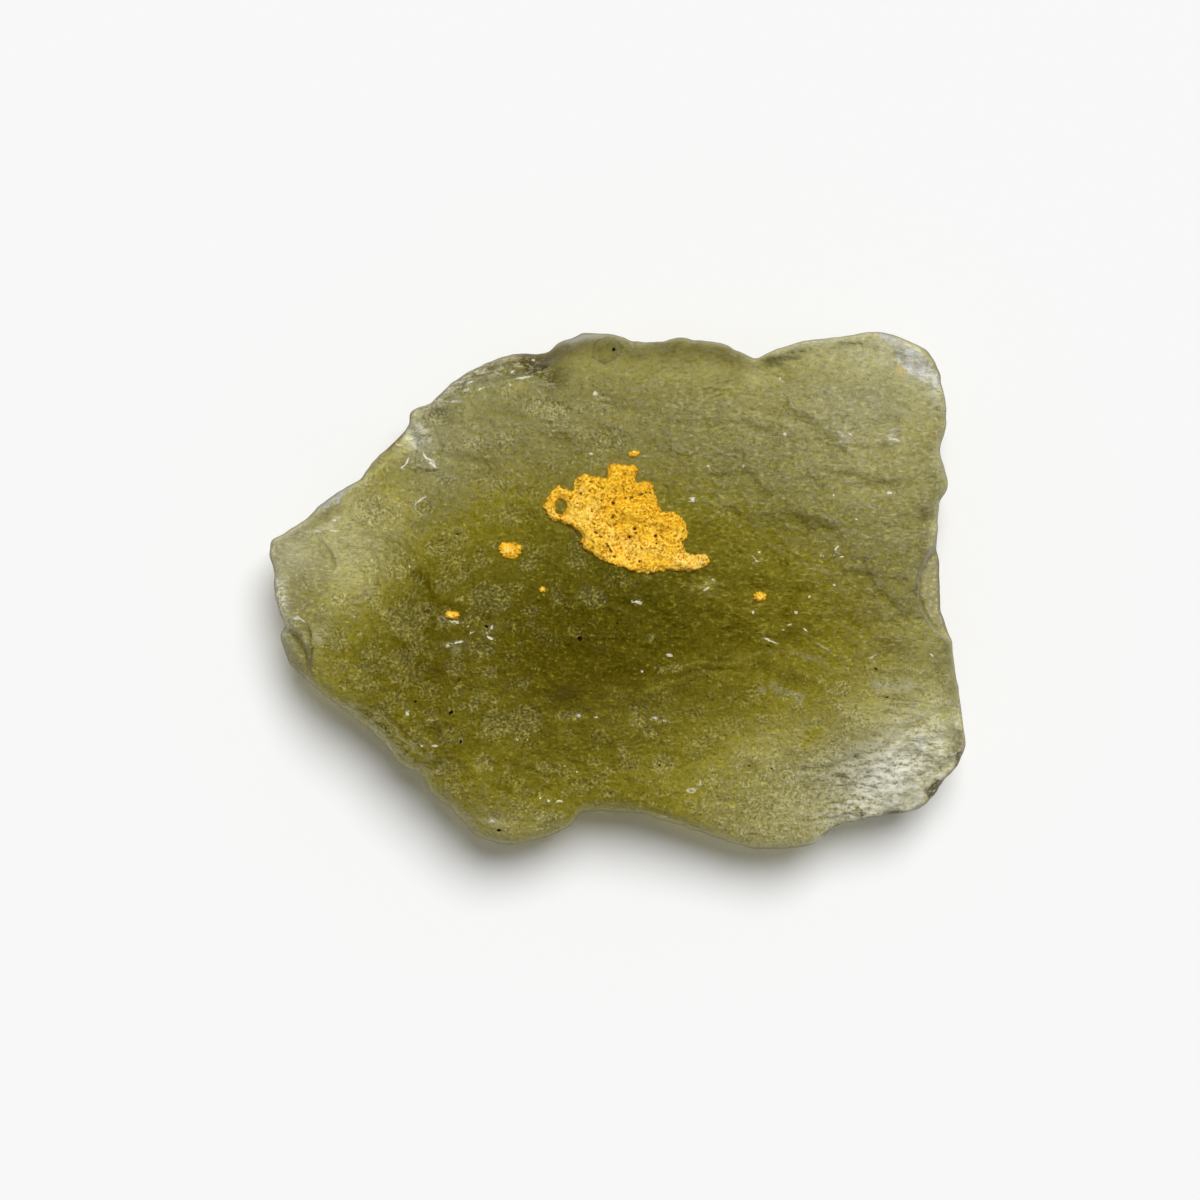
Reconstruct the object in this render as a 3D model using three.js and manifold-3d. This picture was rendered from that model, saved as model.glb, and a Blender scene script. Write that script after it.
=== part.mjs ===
// A raw moldavite: one flat, deeply etched piece of green tektite glass, lying on its broader side,
// with the ochre clay that still clings to its upper face.
// Millimetres. +X runs along the stone, +Y across it, +Z is up. The origin is on the ground, under
// the middle of the stone.

import * as THREE from "three";
import { mergeVertices } from "three/addons/utils/BufferGeometryUtils.js";
import Module from "manifold-3d";

// Driving dimensions of the glass.
const MIDDLE_HEIGHT = 3.35; // of the surface halfway between the two faces, at the centre
const MIDDLE_BEND = 0.0016; // how fast that surface rises towards the two ends, per mm
const EDGE_THICKNESS = 3.2; // of the glass where no swell or hollow changes it
const LEAST_THICKNESS = 0.8;
const ROUNDING_ABOVE = 1.0; // width of the rounded edge, seen from above
const ROUNDING_BELOW = 2.3; // and from below
const GRID_CELLS = 46; // cells along one side of the grid that covers each face
const RING_CROWDING = 0.45; // how much closer together the grid's rings lie near the edge

// Driving dimensions of the clay.
const CLAY_GAP = 0.1; // clear height between the clay and the facets of the glass
const CRUST_THICKNESS = 0.45;
const CRUST_LUMPS = { size: 0.9, height: 0.16, seed: 21 };
const CRUST_FLOOR = 4; // the clay is cut from prisms that stand between these two heights
const CRUST_CEILING = 12;
const FLECK_ROUNDS = 12;

// The edge of the stone from above, clockwise from the blunt tip at its left end.
const OUTLINE = [
  [-20.0, 2.3], [-19.9, 2.9], [-19.2, 3.3], [-18.2, 4.0], [-17.0, 5.0], [-15.4, 6.1],
  [-14.7, 6.5], [-13.6, 8.0], [-12.5, 8.9], [-12.0, 9.6], [-11.9, 10.3], [-10.6, 11.0],
  [-9.7, 11.9], [-8.1, 12.9], [-6.4, 13.6], [-4.1, 13.8], [-3.1, 14.5], [-1.6, 14.9],
  [-0.8, 14.9], [1.3, 14.4], [2.5, 14.4], [3.3, 14.6], [5.4, 14.4], [6.6, 14.0],
  [8.0, 13.4], [8.9, 13.8], [10.4, 14.3], [12.8, 14.6], [15.1, 14.9], [16.6, 14.5],
  [17.9, 13.8], [18.7, 12.1], [18.9, 9.5], [18.6, 8.1], [19.1, 6.0], [18.6, 5.0],
  [18.4, 2.9], [18.6, 0.9], [18.6, -1.2], [19.2, -2.8], [19.5, -4.5], [19.9, -7.2],
  [20.0, -8.5], [19.7, -9.8], [18.6, -11.3], [17.6, -12.5], [16.0, -12.9], [14.3, -13.2],
  [12.5, -13.7], [11.4, -14.6], [9.7, -14.9], [7.7, -14.9], [5.6, -14.2], [3.6, -13.6],
  [1.4, -12.9], [-0.7, -12.8], [-2.0, -12.8], [-2.7, -13.6], [-3.9, -14.2], [-6.1, -14.7],
  [-8.0, -14.2], [-9.1, -13.2], [-9.6, -12.6], [-10.8, -11.7], [-11.2, -10.9],
  [-12.5, -10.0], [-13.6, -8.7], [-15.7, -6.9], [-17.2, -5.8], [-18.8, -4.3], [-19.2, -3.5],
  [-19.4, -2.5], [-19.1, -2.0], [-19.4, -1.4], [-19.7, 0.0], [-19.8, 1.4],
];

// Swells and hollows of the thickness: centre, half-widths, turn in degrees, and height.
const SWELLS = [
  { x: -1.5, y: -3.4, a: 9.5, b: 6.0, turn: -4, height: 4.5 }, // the belly
  { x: -11.0, y: -3.6, a: 3.8, b: 5.6, turn: 0, height: 2.1 }, // left shoulder
  { x: 11.5, y: 1.6, a: 7.0, b: 5.0, turn: -10, height: 2.2 }, // right shoulder
  { x: -8.5, y: -10.5, a: 3.5, b: 3.0, turn: 0, height: 1.2 },
  { x: 2.0, y: -12.6, a: 3.5, b: 2.0, turn: 0, height: 0.9 },
  { x: 16.6, y: -9.8, a: 3.4, b: 3.2, turn: 30, height: -2.3 }, // thin lower right corner
  { x: 9.5, y: -10.5, a: 3.0, b: 2.6, turn: 0, height: -0.6 },
  { x: -17.6, y: 2.4, a: 4.2, b: 3.0, turn: -20, height: -1.1 }, // thin left tip
  { x: -14.3, y: 0.9, a: 2.3, b: 2.2, turn: 0, height: -1.5 },
  { x: 16.0, y: 12.5, a: 3.4, b: 3.4, turn: 0, height: -1.1 },
  { x: -12.0, y: 8.6, a: 2.4, b: 2.4, turn: 0, height: -1.1 },
  { x: -2.0, y: 10.0, a: 6.0, b: 5.0, turn: 0, height: 0.5 },
  { x: 4.0, y: 5.5, a: 3.0, b: 2.5, turn: 0, height: 0.6 },
];

// Scallops bitten into the upper face: centre, half-widths, turn in degrees, depth, and the share
// of the half-width that the sloping side takes.
const SCALLOPS = [
  { x: 7.0, y: -9.7, a: 6.6, b: 6.1, turn: 0, depth: 0.24, side: 0.2 }, // broad, lower right
  { x: 20.0, y: -0.2, a: 2.7, b: 3.5, turn: 0, depth: 2.3, side: 0.25 }, // shelf at the right edge
  { x: -15.9, y: 6.6, a: 2.0, b: 0.8, turn: 38, depth: 1.1, side: 0.4 },
  { x: -2.2, y: 15.2, a: 2.0, b: 0.9, turn: 8, depth: 1.1, side: 0.4 },
  { x: -6.4, y: 13.7, a: 4.8, b: 1.7, turn: 14, depth: 0.55, side: 0.3 }, // broken upper left edge
  { x: 17.1, y: 13.4, a: 2.8, b: 1.4, turn: -42, depth: 0.5, side: 0.4 },
  { x: -18.7, y: -3.7, a: 1.9, b: 1.1, turn: -68, depth: 0.8, side: 0.35 }, // facet at the left end
  { x: 9.2, y: 12.6, a: 2.3, b: 0.6, turn: -27, depth: 0.4, side: 0.9 }, // crease below the notch
  { x: -0.6, y: 13.7, a: 0.8, b: 0.75, turn: 0, depth: 0.3, side: 0.6 },
  { x: 18.2, y: -11.6, a: 0.9, b: 0.6, turn: 50, depth: 0.4, side: 0.5 },
  { x: -12.2, y: 8.7, a: 1.5, b: 1.0, turn: -50, depth: 0.5, side: 0.5 }, // crushed spot
  { x: -17.0, y: 1.6, a: 1.0, b: 2.1, turn: 24, depth: 0.3, side: 0.8 },
  { x: 9.0, y: 8.6, a: 4.6, b: 2.0, turn: -14, depth: 0.32, side: 0.3 },
  { x: 14.2, y: 5.0, a: 3.6, b: 1.9, turn: -20, depth: 0.3, side: 0.3 },
  { x: 10.8, y: 2.9, a: 3.2, b: 1.4, turn: -24, depth: 0.28, side: 0.3 },
  { x: -3.6, y: 10.4, a: 1.4, b: 0.7, turn: -6, depth: 0.2, side: 0.4 },
];

// Lumps of the lower face that reach the ground beside the belly, so the stone lies steady.
const KNOBS_BELOW = [
  { x: 9.5, y: 2.2, a: 4.5, b: 3.4, turn: -12, height: 0.85 },
  { x: -3.5, y: 6.0, a: 4.2, b: 2.8, turn: 8, height: 0.75 },
  { x: -11.5, y: -4.5, a: 3.2, b: 3.8, turn: 0, height: 0.35 },
];

// Scallops of the lower face, where the depth is taken upwards.
const SCALLOPS_BELOW = [
  { x: -12.5, y: 5.5, a: 4.5, b: 2.6, turn: 35, depth: 0.6, side: 0.4 },
  { x: 6.0, y: 10.2, a: 6.0, b: 2.8, turn: -6, depth: 0.5, side: 0.35 },
  { x: 14.5, y: -6.5, a: 4.4, b: 3.2, turn: 35, depth: 0.5, side: 0.4 },
  { x: -4.0, y: -11.0, a: 4.6, b: 2.0, turn: 4, depth: 0.4, side: 0.4 },
];

// Shallow round bowls of the etched skin: centre, half-widths, turn in degrees and depth.
const BOWL_SIDE = 0.7; // share of a bowl's half-width that its side takes
const BOWLS = [
  { x: -7.2, y: -0.5, a: 1.5, b: 1.0, turn: -10, depth: 0.16 },
  { x: -6.1, y: 4.3, a: 0.8, b: 0.8, turn: 0, depth: 0.15 },
  { x: -1.4, y: -0.4, a: 1.0, b: 0.65, turn: -10, depth: 0.16 },
  { x: -9.3, y: 3.0, a: 1.0, b: 0.8, turn: 0, depth: 0.12 },
  { x: -10.2, y: 2.4, a: 0.9, b: 0.6, turn: 0, depth: 0.12 },
  { x: -14.1, y: 4.6, a: 1.1, b: 1.0, turn: 0, depth: 0.2 },
  { x: -11.0, y: 4.7, a: 0.6, b: 0.6, turn: 0, depth: 0.18 },
  { x: -10.1, y: 9.9, a: 0.6, b: 0.55, turn: 0, depth: 0.15 },
  { x: -12.0, y: -2.1, a: 1.0, b: 0.8, turn: 0, depth: 0.14 },
  { x: -12.2, y: -3.9, a: 1.0, b: 0.7, turn: 0, depth: 0.14 },
  { x: -11.0, y: -1.2, a: 0.6, b: 0.6, turn: 0, depth: 0.12 },
  { x: -9.2, y: -4.4, a: 0.7, b: 0.55, turn: 0, depth: 0.12 },
  { x: -7.5, y: -3.4, a: 0.7, b: 0.5, turn: 0, depth: 0.12 },
  { x: -6.8, y: -7.6, a: 1.1, b: 0.9, turn: 0, depth: 0.16 },
  { x: -7.6, y: -9.8, a: 0.7, b: 0.6, turn: 0, depth: 0.15 },
  { x: -5.2, y: -7.4, a: 1.1, b: 1.1, turn: 0, depth: 0.12 },
  { x: -0.5, y: 8.7, a: 1.2, b: 0.9, turn: 0, depth: 0.15 },
  { x: 2.6, y: -9.9, a: 0.8, b: 0.7, turn: 0, depth: 0.12 },
  { x: 1.2, y: -7.4, a: 0.6, b: 0.5, turn: 0, depth: 0.1 },
  { x: 15.1, y: 1.8, a: 1.1, b: 1.5, turn: 10, depth: 0.15 },
  { x: -18.0, y: 1.9, a: 1.5, b: 1.0, turn: 0, depth: 0.15 },
];

// Ledges: how high, how far back the raised side reaches, and the line of the drop. The raised
// side is on the left of the way that the line runs.
const LEDGES = [
  { height: 0.35, reach: 1.2,
    line: [[6.8, 10.0], [7.4, 9.6], [8.0, 9.3], [8.6, 9.25], [9.1, 9.5]] },
  { height: 0.25, reach: 1.0,
    line: [[5.4, 8.1], [5.8, 7.7], [6.3, 7.5], [6.8, 7.7], [7.1, 8.1]] },
  { height: 0.35, reach: 1.1,
    line: [[8.1, 7.6], [8.0, 6.9], [8.1, 6.2], [8.5, 5.7], [9.3, 5.5]] },
  { height: 0.3, reach: 1.4,
    line: [[9.75, 12.0], [9.75, 11.2], [9.8, 10.5], [10.4, 10.2], [11.2, 9.85], [12.3, 9.5]] },
  // a light ridge
  { height: 0.25, reach: 0.9,
    line: [[13.6, 8.8], [12.8, 9.4], [12.3, 10.3], [11.8, 11.0], [11.45, 12.2]] },
  { height: 0.4, reach: 1.6,
    line: [[10.6, 7.4], [11.6, 7.05], [12.8, 6.65], [14.0, 6.4], [15.0, 6.2], [16.6, 6.2]] },
  { height: 0.2, reach: 0.9,
    line: [[12.3, 8.5], [13.1, 8.0], [13.9, 7.4], [14.5, 6.9]] },
  { height: 0.4, reach: 1.5,
    line: [[10.1, 4.3], [10.7, 3.95], [11.4, 3.65], [12.4, 3.6], [13.8, 3.8]] },
  { height: 0.3, reach: 1.0,
    line: [[9.1, 3.7], [9.9, 3.4], [10.5, 3.2], [11.2, 3.0]] },
  { height: 0.25, reach: 1.1,
    line: [[12.4, 5.0], [13.2, 4.6], [14.4, 4.6], [15.2, 4.5], [16.3, 4.65]] },
  { height: 0.4, reach: 1.6,
    line: [[13.9, 3.0], [13.95, 1.9], [14.3, 1.0], [15.0, 0.1], [15.9, -0.9], [16.6, -1.6]] },
  { height: 0.25, reach: 1.0,
    line: [[9.9, -10.4], [10.9, -10.1], [12.2, -10.05], [13.2, -9.7], [13.9, -9.25], [15.0, -9.4]] },
  { height: 0.25, reach: 0.8,
    line: [[12.0, -11.2], [13.0, -11.15], [13.8, -10.9], [14.5, -10.8]] },
  { height: 0.2, reach: 0.8,
    line: [[16.2, -8.1], [16.3, -7.6], [17.1, -7.5], [18.4, -7.3]] },
  { height: 0.25, reach: 0.9,
    line: [[16.6, -10.8], [17.6, -10.4], [18.6, -10.0], [19.3, -9.8]] },
  // below the oval hollow
  { height: 0.2, reach: 0.8,
    line: [[-5.7, 10.4], [-4.8, 10.05], [-3.9, 9.7], [-3.2, 9.6], [-2.6, 9.9]] },
  { height: 0.2, reach: 1.1,
    line: [[3.4, 11.6], [4.3, 11.4], [5.2, 11.6], [6.0, 11.35], [7.2, 11.35]] },
  { height: 0.2, reach: 1.0,
    line: [[-2.0, 12.8], [-1.0, 12.7], [0.0, 12.6], [1.1, 12.55]] },
  // crack at the left end
  { height: 0.25, reach: 0.9,
    line: [[-17.1, 3.2], [-16.6, 2.6], [-16.2, 2.0], [-16.1, 1.4], [-16.4, 0.6]] },
  // beside the left facet
  { height: 0.25, reach: 0.8,
    line: [[-17.6, -1.9], [-17.4, -2.6], [-17.35, -3.4], [-17.5, -4.4]] },
  // foot of the crushed spot
  { height: 0.2, reach: 0.9,
    line: [[-12.3, 7.0], [-11.4, 6.9], [-10.4, 6.9], [-9.6, 7.1]] },
  { height: 0.2, reach: 0.9,
    line: [[-15.3, -0.8], [-14.7, -0.8], [-14.2, -0.4], [-13.5, -0.3], [-13.0, 0.1]] },
  { height: 0.2, reach: 1.0,
    line: [[-7.0, -9.1], [-6.0, -9.7], [-5.0, -10.1], [-3.8, -10.5], [-2.4, -10.4]] },
];

const LEDGE_SLOPE = 0.15; // half the width of the drop
const LEDGE_FOOT = 0.4; // share of a ledge's height that lies below the skin around it
const LEDGE_TAPER = 0.3; // share of the line over which each end fades out

// Short overlapping scales that break up the right half and the upper edge.
const SHINGLE_LENGTH = 3.6;
const SHINGLE_WIDTH = 2.1;
const SHINGLE_TURN = -13;
const SHINGLE_HEIGHT = 0.28;
const SHINGLE_LIFT = 0.25; // how much a shingle as a whole is raised or sunk, as a share of that
const SHINGLE_SCATTER = 0.4; // how far a shingle's middle strays, as a share of its size
const SHINGLE_SLOPE = 0.35; // share of a shingle's size that its sloping border takes
const SHINGLE_SEED = 3;
// Where the shingles are at their full height, and where they have faded out.
const SHINGLE_REACH = {
  least: 0.15,
  right: { none: -2, full: 4 },
  lower: { none: -5, full: -0.5 },
  upper: { none: 6, full: 9, share: 0.55 },
};

// Ripples of a shell-like fracture in the thin corner, and dimples everywhere.
const RIPPLE_PITCH = 1.3;
const RIPPLE_HEIGHT = 0.16;
const RIPPLE_SWAY = { across: 1.9, along: 1.9, height: 0.35, seed: 6 };
const RIPPLE_CENTRE = { x: 21.5, y: -15.5 };
const RIPPLE_REACH = { full: 6, none: 11 };
const DIMPLES = 130;
const DIMPLE_SEED = 7919;
const DIMPLE_RADIUS = { least: 0.75, most: 1.7 };
const DIMPLE_DEPTH = { least: 0.08, most: 0.3 };

// Soft random relief: how far apart its hills are along and across the stone, and how high.
const ROLLING_ABOVE = [
  { across: 3.4, along: 2.8, height: 0.2, seed: 1 },
  { across: 1.5, along: 1.3, height: 0.1, seed: 2 },
];
const ROLLING_BELOW = [
  { across: 3.8, along: 3.1, height: 0.16, seed: 11 },
  { across: 1.6, along: 1.4, height: 0.08, seed: 12 },
];

// The clay crust from above, clockwise from its left end, and the hole through it.
const CRUST_OUTLINE = [
  [-4.3, 4.8], [-3.8, 5.7], [-3.3, 6.0], [-2.6, 5.75], [-2.5, 6.25], [-2.0, 6.7],
  [-0.7, 6.5], [-0.7, 7.05], [-0.2, 7.35], [0.5, 7.3], [1.3, 6.95], [1.15, 6.25],
  [1.9, 6.2], [2.2, 5.5], [2.7, 4.55], [3.3, 4.5], [3.75, 4.1], [4.1, 3.1], [3.85, 2.8],
  [4.1, 2.1], [4.8, 2.15], [5.3, 1.9], [5.2, 1.35], [4.5, 1.1], [2.9, 1.05], [1.2, 0.95],
  [-0.4, 1.5], [-1.4, 1.9], [-2.1, 2.7], [-2.2, 3.2], [-3.1, 3.75], [-4.0, 4.15],
];
const CRUST_HOLE = { x: -3.2, y: 4.8, a: 0.3, b: 0.4 };

// Flecks of the same clay in pits of the glass: centre, half-widths, turn in degrees and height.
const FLECKS = {
  clay_fleck_left: { x: -6.1, y: 2.3, a: 0.72, b: 0.46, turn: -8, height: 0.32 },
  clay_fleck_above: { x: 0.95, y: 7.8, a: 0.32, b: 0.2, turn: 5, height: 0.25 },
  clay_fleck_lower_left: { x: -9.35, y: -1.4, a: 0.42, b: 0.24, turn: -12, height: 0.25 },
  clay_fleck_middle: { x: -4.25, y: 0.05, a: 0.2, b: 0.17, turn: 0, height: 0.22 },
  clay_fleck_right: { x: 8.1, y: -0.35, a: 0.34, b: 0.3, turn: 20, height: 0.25 },
};

const GLASS = new THREE.MeshStandardMaterial({ color: 0x8b8a3c, roughness: 0.4, metalness: 0 });
const CLAY = new THREE.MeshStandardMaterial({ color: 0xdca52f, roughness: 0.95, metalness: 0 });

function smoothstep(from, to, value) {
  const share = Math.min(Math.max((value - from) / (to - from), 0), 1);
  return share * share * (3 - 2 * share);
}

// A fixed random height between -1 and 1 for one whole-number corner of the noise.
function cornerHeight(i, j, seed) {
  const wave = Math.sin(i * 127.1 + j * 311.7 + seed * 74.7) * 43758.5453;
  return 2 * (wave - Math.floor(wave)) - 1;
}

// Value noise: the heights of the four corners around a point, blended smoothly.
function noise(x, y, seed) {
  const i = Math.floor(x);
  const j = Math.floor(y);
  const u = smoothstep(0, 1, x - i);
  const v = smoothstep(0, 1, y - j);
  const near = cornerHeight(i, j, seed) * (1 - u) + cornerHeight(i + 1, j, seed) * u;
  const far = cornerHeight(i, j + 1, seed) * (1 - u) + cornerHeight(i + 1, j + 1, seed) * u;
  return near * (1 - v) + far * v;
}

// The distance from a turned ellipse's centre, as a share of its half-widths.
function ellipseShare(x, y, ellipse) {
  const turn = THREE.MathUtils.degToRad(ellipse.turn);
  const across = x - ellipse.x;
  const along = y - ellipse.y;
  const u = (across * Math.cos(turn) + along * Math.sin(turn)) / ellipse.a;
  const v = (along * Math.cos(turn) - across * Math.sin(turn)) / ellipse.b;
  return Math.hypot(u, v);
}

// The summed height of bell-shaped swells.
function swellHeight(x, y, swells) {
  const bells = swells.map((s) => s.height * Math.exp(-(ellipseShare(x, y, s) ** 2)));
  return bells.reduce((sum, bell) => sum + bell, 0);
}

function thickness(x, y) {
  return Math.max(EDGE_THICKNESS + swellHeight(x, y, SWELLS), LEAST_THICKNESS);
}

// How far the scallops in a list cut in: full depth inside, easing out over the sloping side.
function scallopDepth(x, y, scallops) {
  const cuts = scallops.map(
    (s) => s.depth * (1 - smoothstep(1 - s.side, 1, ellipseShare(x, y, s))),
  );
  return cuts.reduce((sum, cut) => sum + cut, 0);
}

function rollingHeight(x, y, layers) {
  const hills = layers.map((l) => l.height * noise(x / l.across, y / l.along, l.seed));
  return hills.reduce((sum, hill) => sum + hill, 0);
}

// The two nearest of the scattered cell middles: their distances, and the place in the nearest.
function nearestCells(u, v, seed) {
  const nearest = { first: Infinity, second: Infinity, along: 0, lift: 0 };
  for (let j = Math.floor(v) - 1; j <= Math.floor(v) + 1; j += 1) {
    for (let i = Math.floor(u) - 1; i <= Math.floor(u) + 1; i += 1) {
      const across = u - (i + 0.5 + SHINGLE_SCATTER * cornerHeight(i, j, seed));
      const along = v - (j + 0.5 + SHINGLE_SCATTER * cornerHeight(i, j, seed + 1));
      const away = Math.hypot(across, along);
      if (away < nearest.first) {
        nearest.second = nearest.first;
        nearest.first = away;
        nearest.along = along;
        nearest.lift = cornerHeight(i, j, seed + 2);
      } else if (away < nearest.second) {
        nearest.second = away;
      }
    }
  }
  return nearest;
}

// A shingle rises towards its lower side and drops there to the next one.
function shingleHeight(x, y) {
  const turn = THREE.MathUtils.degToRad(SHINGLE_TURN);
  const u = (x * Math.cos(turn) + y * Math.sin(turn)) / SHINGLE_LENGTH;
  const v = (y * Math.cos(turn) - x * Math.sin(turn)) / SHINGLE_WIDTH;
  const { first, second, along, lift } = nearestCells(u, v, SHINGLE_SEED);
  const inside = smoothstep(0, SHINGLE_SLOPE, second - first);
  return SHINGLE_HEIGHT * shingleReach(x, y) * inside * (SHINGLE_LIFT * lift - along);
}

// Shingles fade out towards the left and the lower edge, where the glass is only dimpled.
function shingleReach(x, y) {
  const { least, right, lower, upper } = SHINGLE_REACH;
  const onRight = smoothstep(right.none, right.full, x) * smoothstep(lower.none, lower.full, y);
  const onTop = upper.share * smoothstep(upper.none, upper.full, y);
  return least + (1 - least) * Math.max(onRight, onTop);
}

// Where a point lies beside a line: how far off, on which side (1 for the left), and the share of
// the line's length that comes before it.
function placeAtLine(x, y, line) {
  let nearest = { away: Infinity, side: 1, along: 0 };
  let before = 0;
  for (let k = 1; k < line.length; k += 1) {
    const [startX, startY] = line[k - 1];
    const length = Math.hypot(line[k][0] - startX, line[k][1] - startY);
    const wayX = (line[k][0] - startX) / length;
    const wayY = (line[k][1] - startY) / length;
    const forward = (x - startX) * wayX + (y - startY) * wayY;
    const left = (y - startY) * wayX - (x - startX) * wayY;
    const along = Math.min(Math.max(forward, 0), length);
    const away = Math.hypot(forward - along, left);
    if (away < nearest.away) nearest = { away, side: left < 0 ? -1 : 1, along: before + along };
    before += length;
  }
  return { ...nearest, along: nearest.along / before };
}

// A ledge stands up on the left of its line, drops across it, and levels out on both sides.
function ledgeHeight(x, y) {
  const steps = LEDGES.map(({ height, reach, line }) => {
    const { away, side, along } = placeAtLine(x, y, line);
    if (away > reach) return 0;
    const taper = smoothstep(0, LEDGE_TAPER, Math.min(along, 1 - along));
    const step = smoothstep(-LEDGE_SLOPE, LEDGE_SLOPE, side * away) - LEDGE_FOOT;
    return height * taper * step * (1 - away / reach) ** 2;
  });
  return steps.reduce((sum, step) => sum + step, 0);
}

// Ribs of a shell-like fracture around a point outside the thin corner.
function rippleHeight(x, y) {
  const away = Math.hypot(x - RIPPLE_CENTRE.x, y - RIPPLE_CENTRE.y);
  const sway = rollingHeight(x, y, [RIPPLE_SWAY]);
  const reach = 1 - smoothstep(RIPPLE_REACH.full, RIPPLE_REACH.none, away);
  return RIPPLE_HEIGHT * reach * Math.sin(2 * Math.PI * (away / RIPPLE_PITCH + sway));
}

// Round dimples, placed one after another by a fixed sequence of random numbers.
function makeDimples(count, firstSeed) {
  let seed = firstSeed;
  const next = (least, most) => {
    seed = (seed * 16807) % 2147483647;
    return least + ((most - least) * seed) / 2147483647;
  };
  return Array.from({ length: count }, () => ({
    x: next(-20, 20),
    y: next(-15, 15),
    radius: next(DIMPLE_RADIUS.least, DIMPLE_RADIUS.most),
    depth: next(DIMPLE_DEPTH.least, DIMPLE_DEPTH.most),
  }));
}

function dimpleDepth(x, y, dimples) {
  const cuts = dimples.map((d) => {
    const share = Math.hypot(x - d.x, y - d.y) / d.radius;
    return share < 1 ? d.depth * (1 - share * share) ** 2 : 0;
  });
  return cuts.reduce((sum, cut) => sum + cut, 0);
}

const allScallops = [...SCALLOPS, ...BOWLS.map((bowl) => ({ ...bowl, side: BOWL_SIDE }))];
const dimplesAbove = makeDimples(DIMPLES, DIMPLE_SEED);
const dimplesBelow = makeDimples(DIMPLES, DIMPLE_SEED + 1);

function middleHeight(x) {
  return MIDDLE_HEIGHT + MIDDLE_BEND * x * x;
}

function upperHeight(x, y) {
  const swell = middleHeight(x) + thickness(x, y) / 2;
  const steps = ledgeHeight(x, y) + shingleHeight(x, y) + rippleHeight(x, y);
  const cuts = scallopDepth(x, y, allScallops) + dimpleDepth(x, y, dimplesAbove);
  return swell + rollingHeight(x, y, ROLLING_ABOVE) + steps - cuts;
}

// The lower face is cut off level where it would reach below the ground.
function lowerHeight(x, y) {
  const swell = middleHeight(x) - thickness(x, y) / 2 - swellHeight(x, y, KNOBS_BELOW);
  const cuts = scallopDepth(x, y, SCALLOPS_BELOW) + dimpleDepth(x, y, dimplesBelow);
  const natural = swell + rollingHeight(x, y, ROLLING_BELOW) + cuts;
  return Math.max(Math.min(natural, upperHeight(x, y) - LEAST_THICKNESS), 0);
}

// A quarter ellipse over the width of a rounded edge: 0 at the edge, 1 from its inner end on.
function edgeRise(inwards, width) {
  const left = 1 - Math.min(inwards / width, 1);
  return Math.sqrt(1 - left * left);
}

// The place of grid corner (i, j): the grid's rings are the outline drawn smaller and smaller.
function gridPlace(i, j, rim) {
  const half = GRID_CELLS / 2;
  const right = i - half;
  const up = j - half;
  const ring = Math.max(Math.abs(right), Math.abs(up));
  if (ring === 0) return { x: 0, y: 0, inwards: Infinity, rimPoint: rim[0] };
  const crowded = ring / half + RING_CROWDING * (ring / half) * (1 - ring / half);
  // The way round a ring, clockwise from the middle of its left side, in cells.
  let round = up;
  if (up === ring) round = 2 * ring + right;
  else if (right === ring) round = 4 * ring - up;
  else if (up === -ring) round = 6 * ring - right;
  const whole = 8 * ring;
  const share = (((round % whole) + whole) % whole) / whole;
  const rimPoint = pointOnRim(rim, share);
  const inwards = (1 - crowded) * rimPoint.length();
  return { x: crowded * rimPoint.x, y: crowded * rimPoint.y, inwards, rimPoint };
}

function pointOnRim(rim, share) {
  const place = share * rim.length;
  const from = rim[Math.floor(place) % rim.length];
  const to = rim[Math.ceil(place) % rim.length];
  return from.clone().lerp(to, place - Math.floor(place));
}

function stoneHeights(place) {
  const { x, y, inwards, rimPoint } = place;
  const edge = (upperHeight(rimPoint.x, rimPoint.y) + lowerHeight(rimPoint.x, rimPoint.y)) / 2;
  const above = edge + (upperHeight(x, y) - edge) * edgeRise(inwards, ROUNDING_ABOVE);
  const below = edge - (edge - lowerHeight(x, y)) * edgeRise(inwards, ROUNDING_BELOW);
  return { above, below };
}

// The glass as one closed mesh: an upper and a lower grid that share their outermost ring.
function stoneGeometry() {
  const points = OUTLINE.map(([x, y]) => new THREE.Vector3(x, y, 0));
  const curve = new THREE.CatmullRomCurve3(points, true, "centripetal");
  const rim = curve.getSpacedPoints(4 * GRID_CELLS).slice(0, -1);
  const side = GRID_CELLS + 1;
  const positions = [];
  const upper = [];
  const lower = [];
  for (let j = 0; j < side; j += 1) {
    for (let i = 0; i < side; i += 1) {
      const place = gridPlace(i, j, rim);
      const { above, below } = stoneHeights(place);
      const onRim = i === 0 || j === 0 || i === GRID_CELLS || j === GRID_CELLS;
      upper.push(positions.length / 3);
      positions.push(place.x, place.y, above);
      lower.push(onRim ? upper.at(-1) : positions.length / 3);
      if (!onRim) positions.push(place.x, place.y, below);
    }
  }
  const triangles = [];
  for (let j = 0; j < GRID_CELLS; j += 1) {
    for (let i = 0; i < GRID_CELLS; i += 1) {
      const a = j * side + i;
      const corners = [a, a + 1, a + side + 1, a + side];
      // Each cell is split from its inner corner to its outer one.
      const half = GRID_CELLS / 2;
      const rising = i < half === j < half;
      const [p, q, r, s] = rising ? corners : [corners[1], corners[2], corners[3], corners[0]];
      triangles.push(upper[p], upper[q], upper[r], upper[p], upper[r], upper[s]);
      triangles.push(lower[p], lower[r], lower[q], lower[p], lower[s], lower[r]);
    }
  }
  const geometry = new THREE.BufferGeometry();
  geometry.setAttribute("position", new THREE.Float32BufferAttribute(positions, 3));
  geometry.setIndex(triangles);
  return geometry;
}

const wasm = await Module();
wasm.setup();

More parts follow.
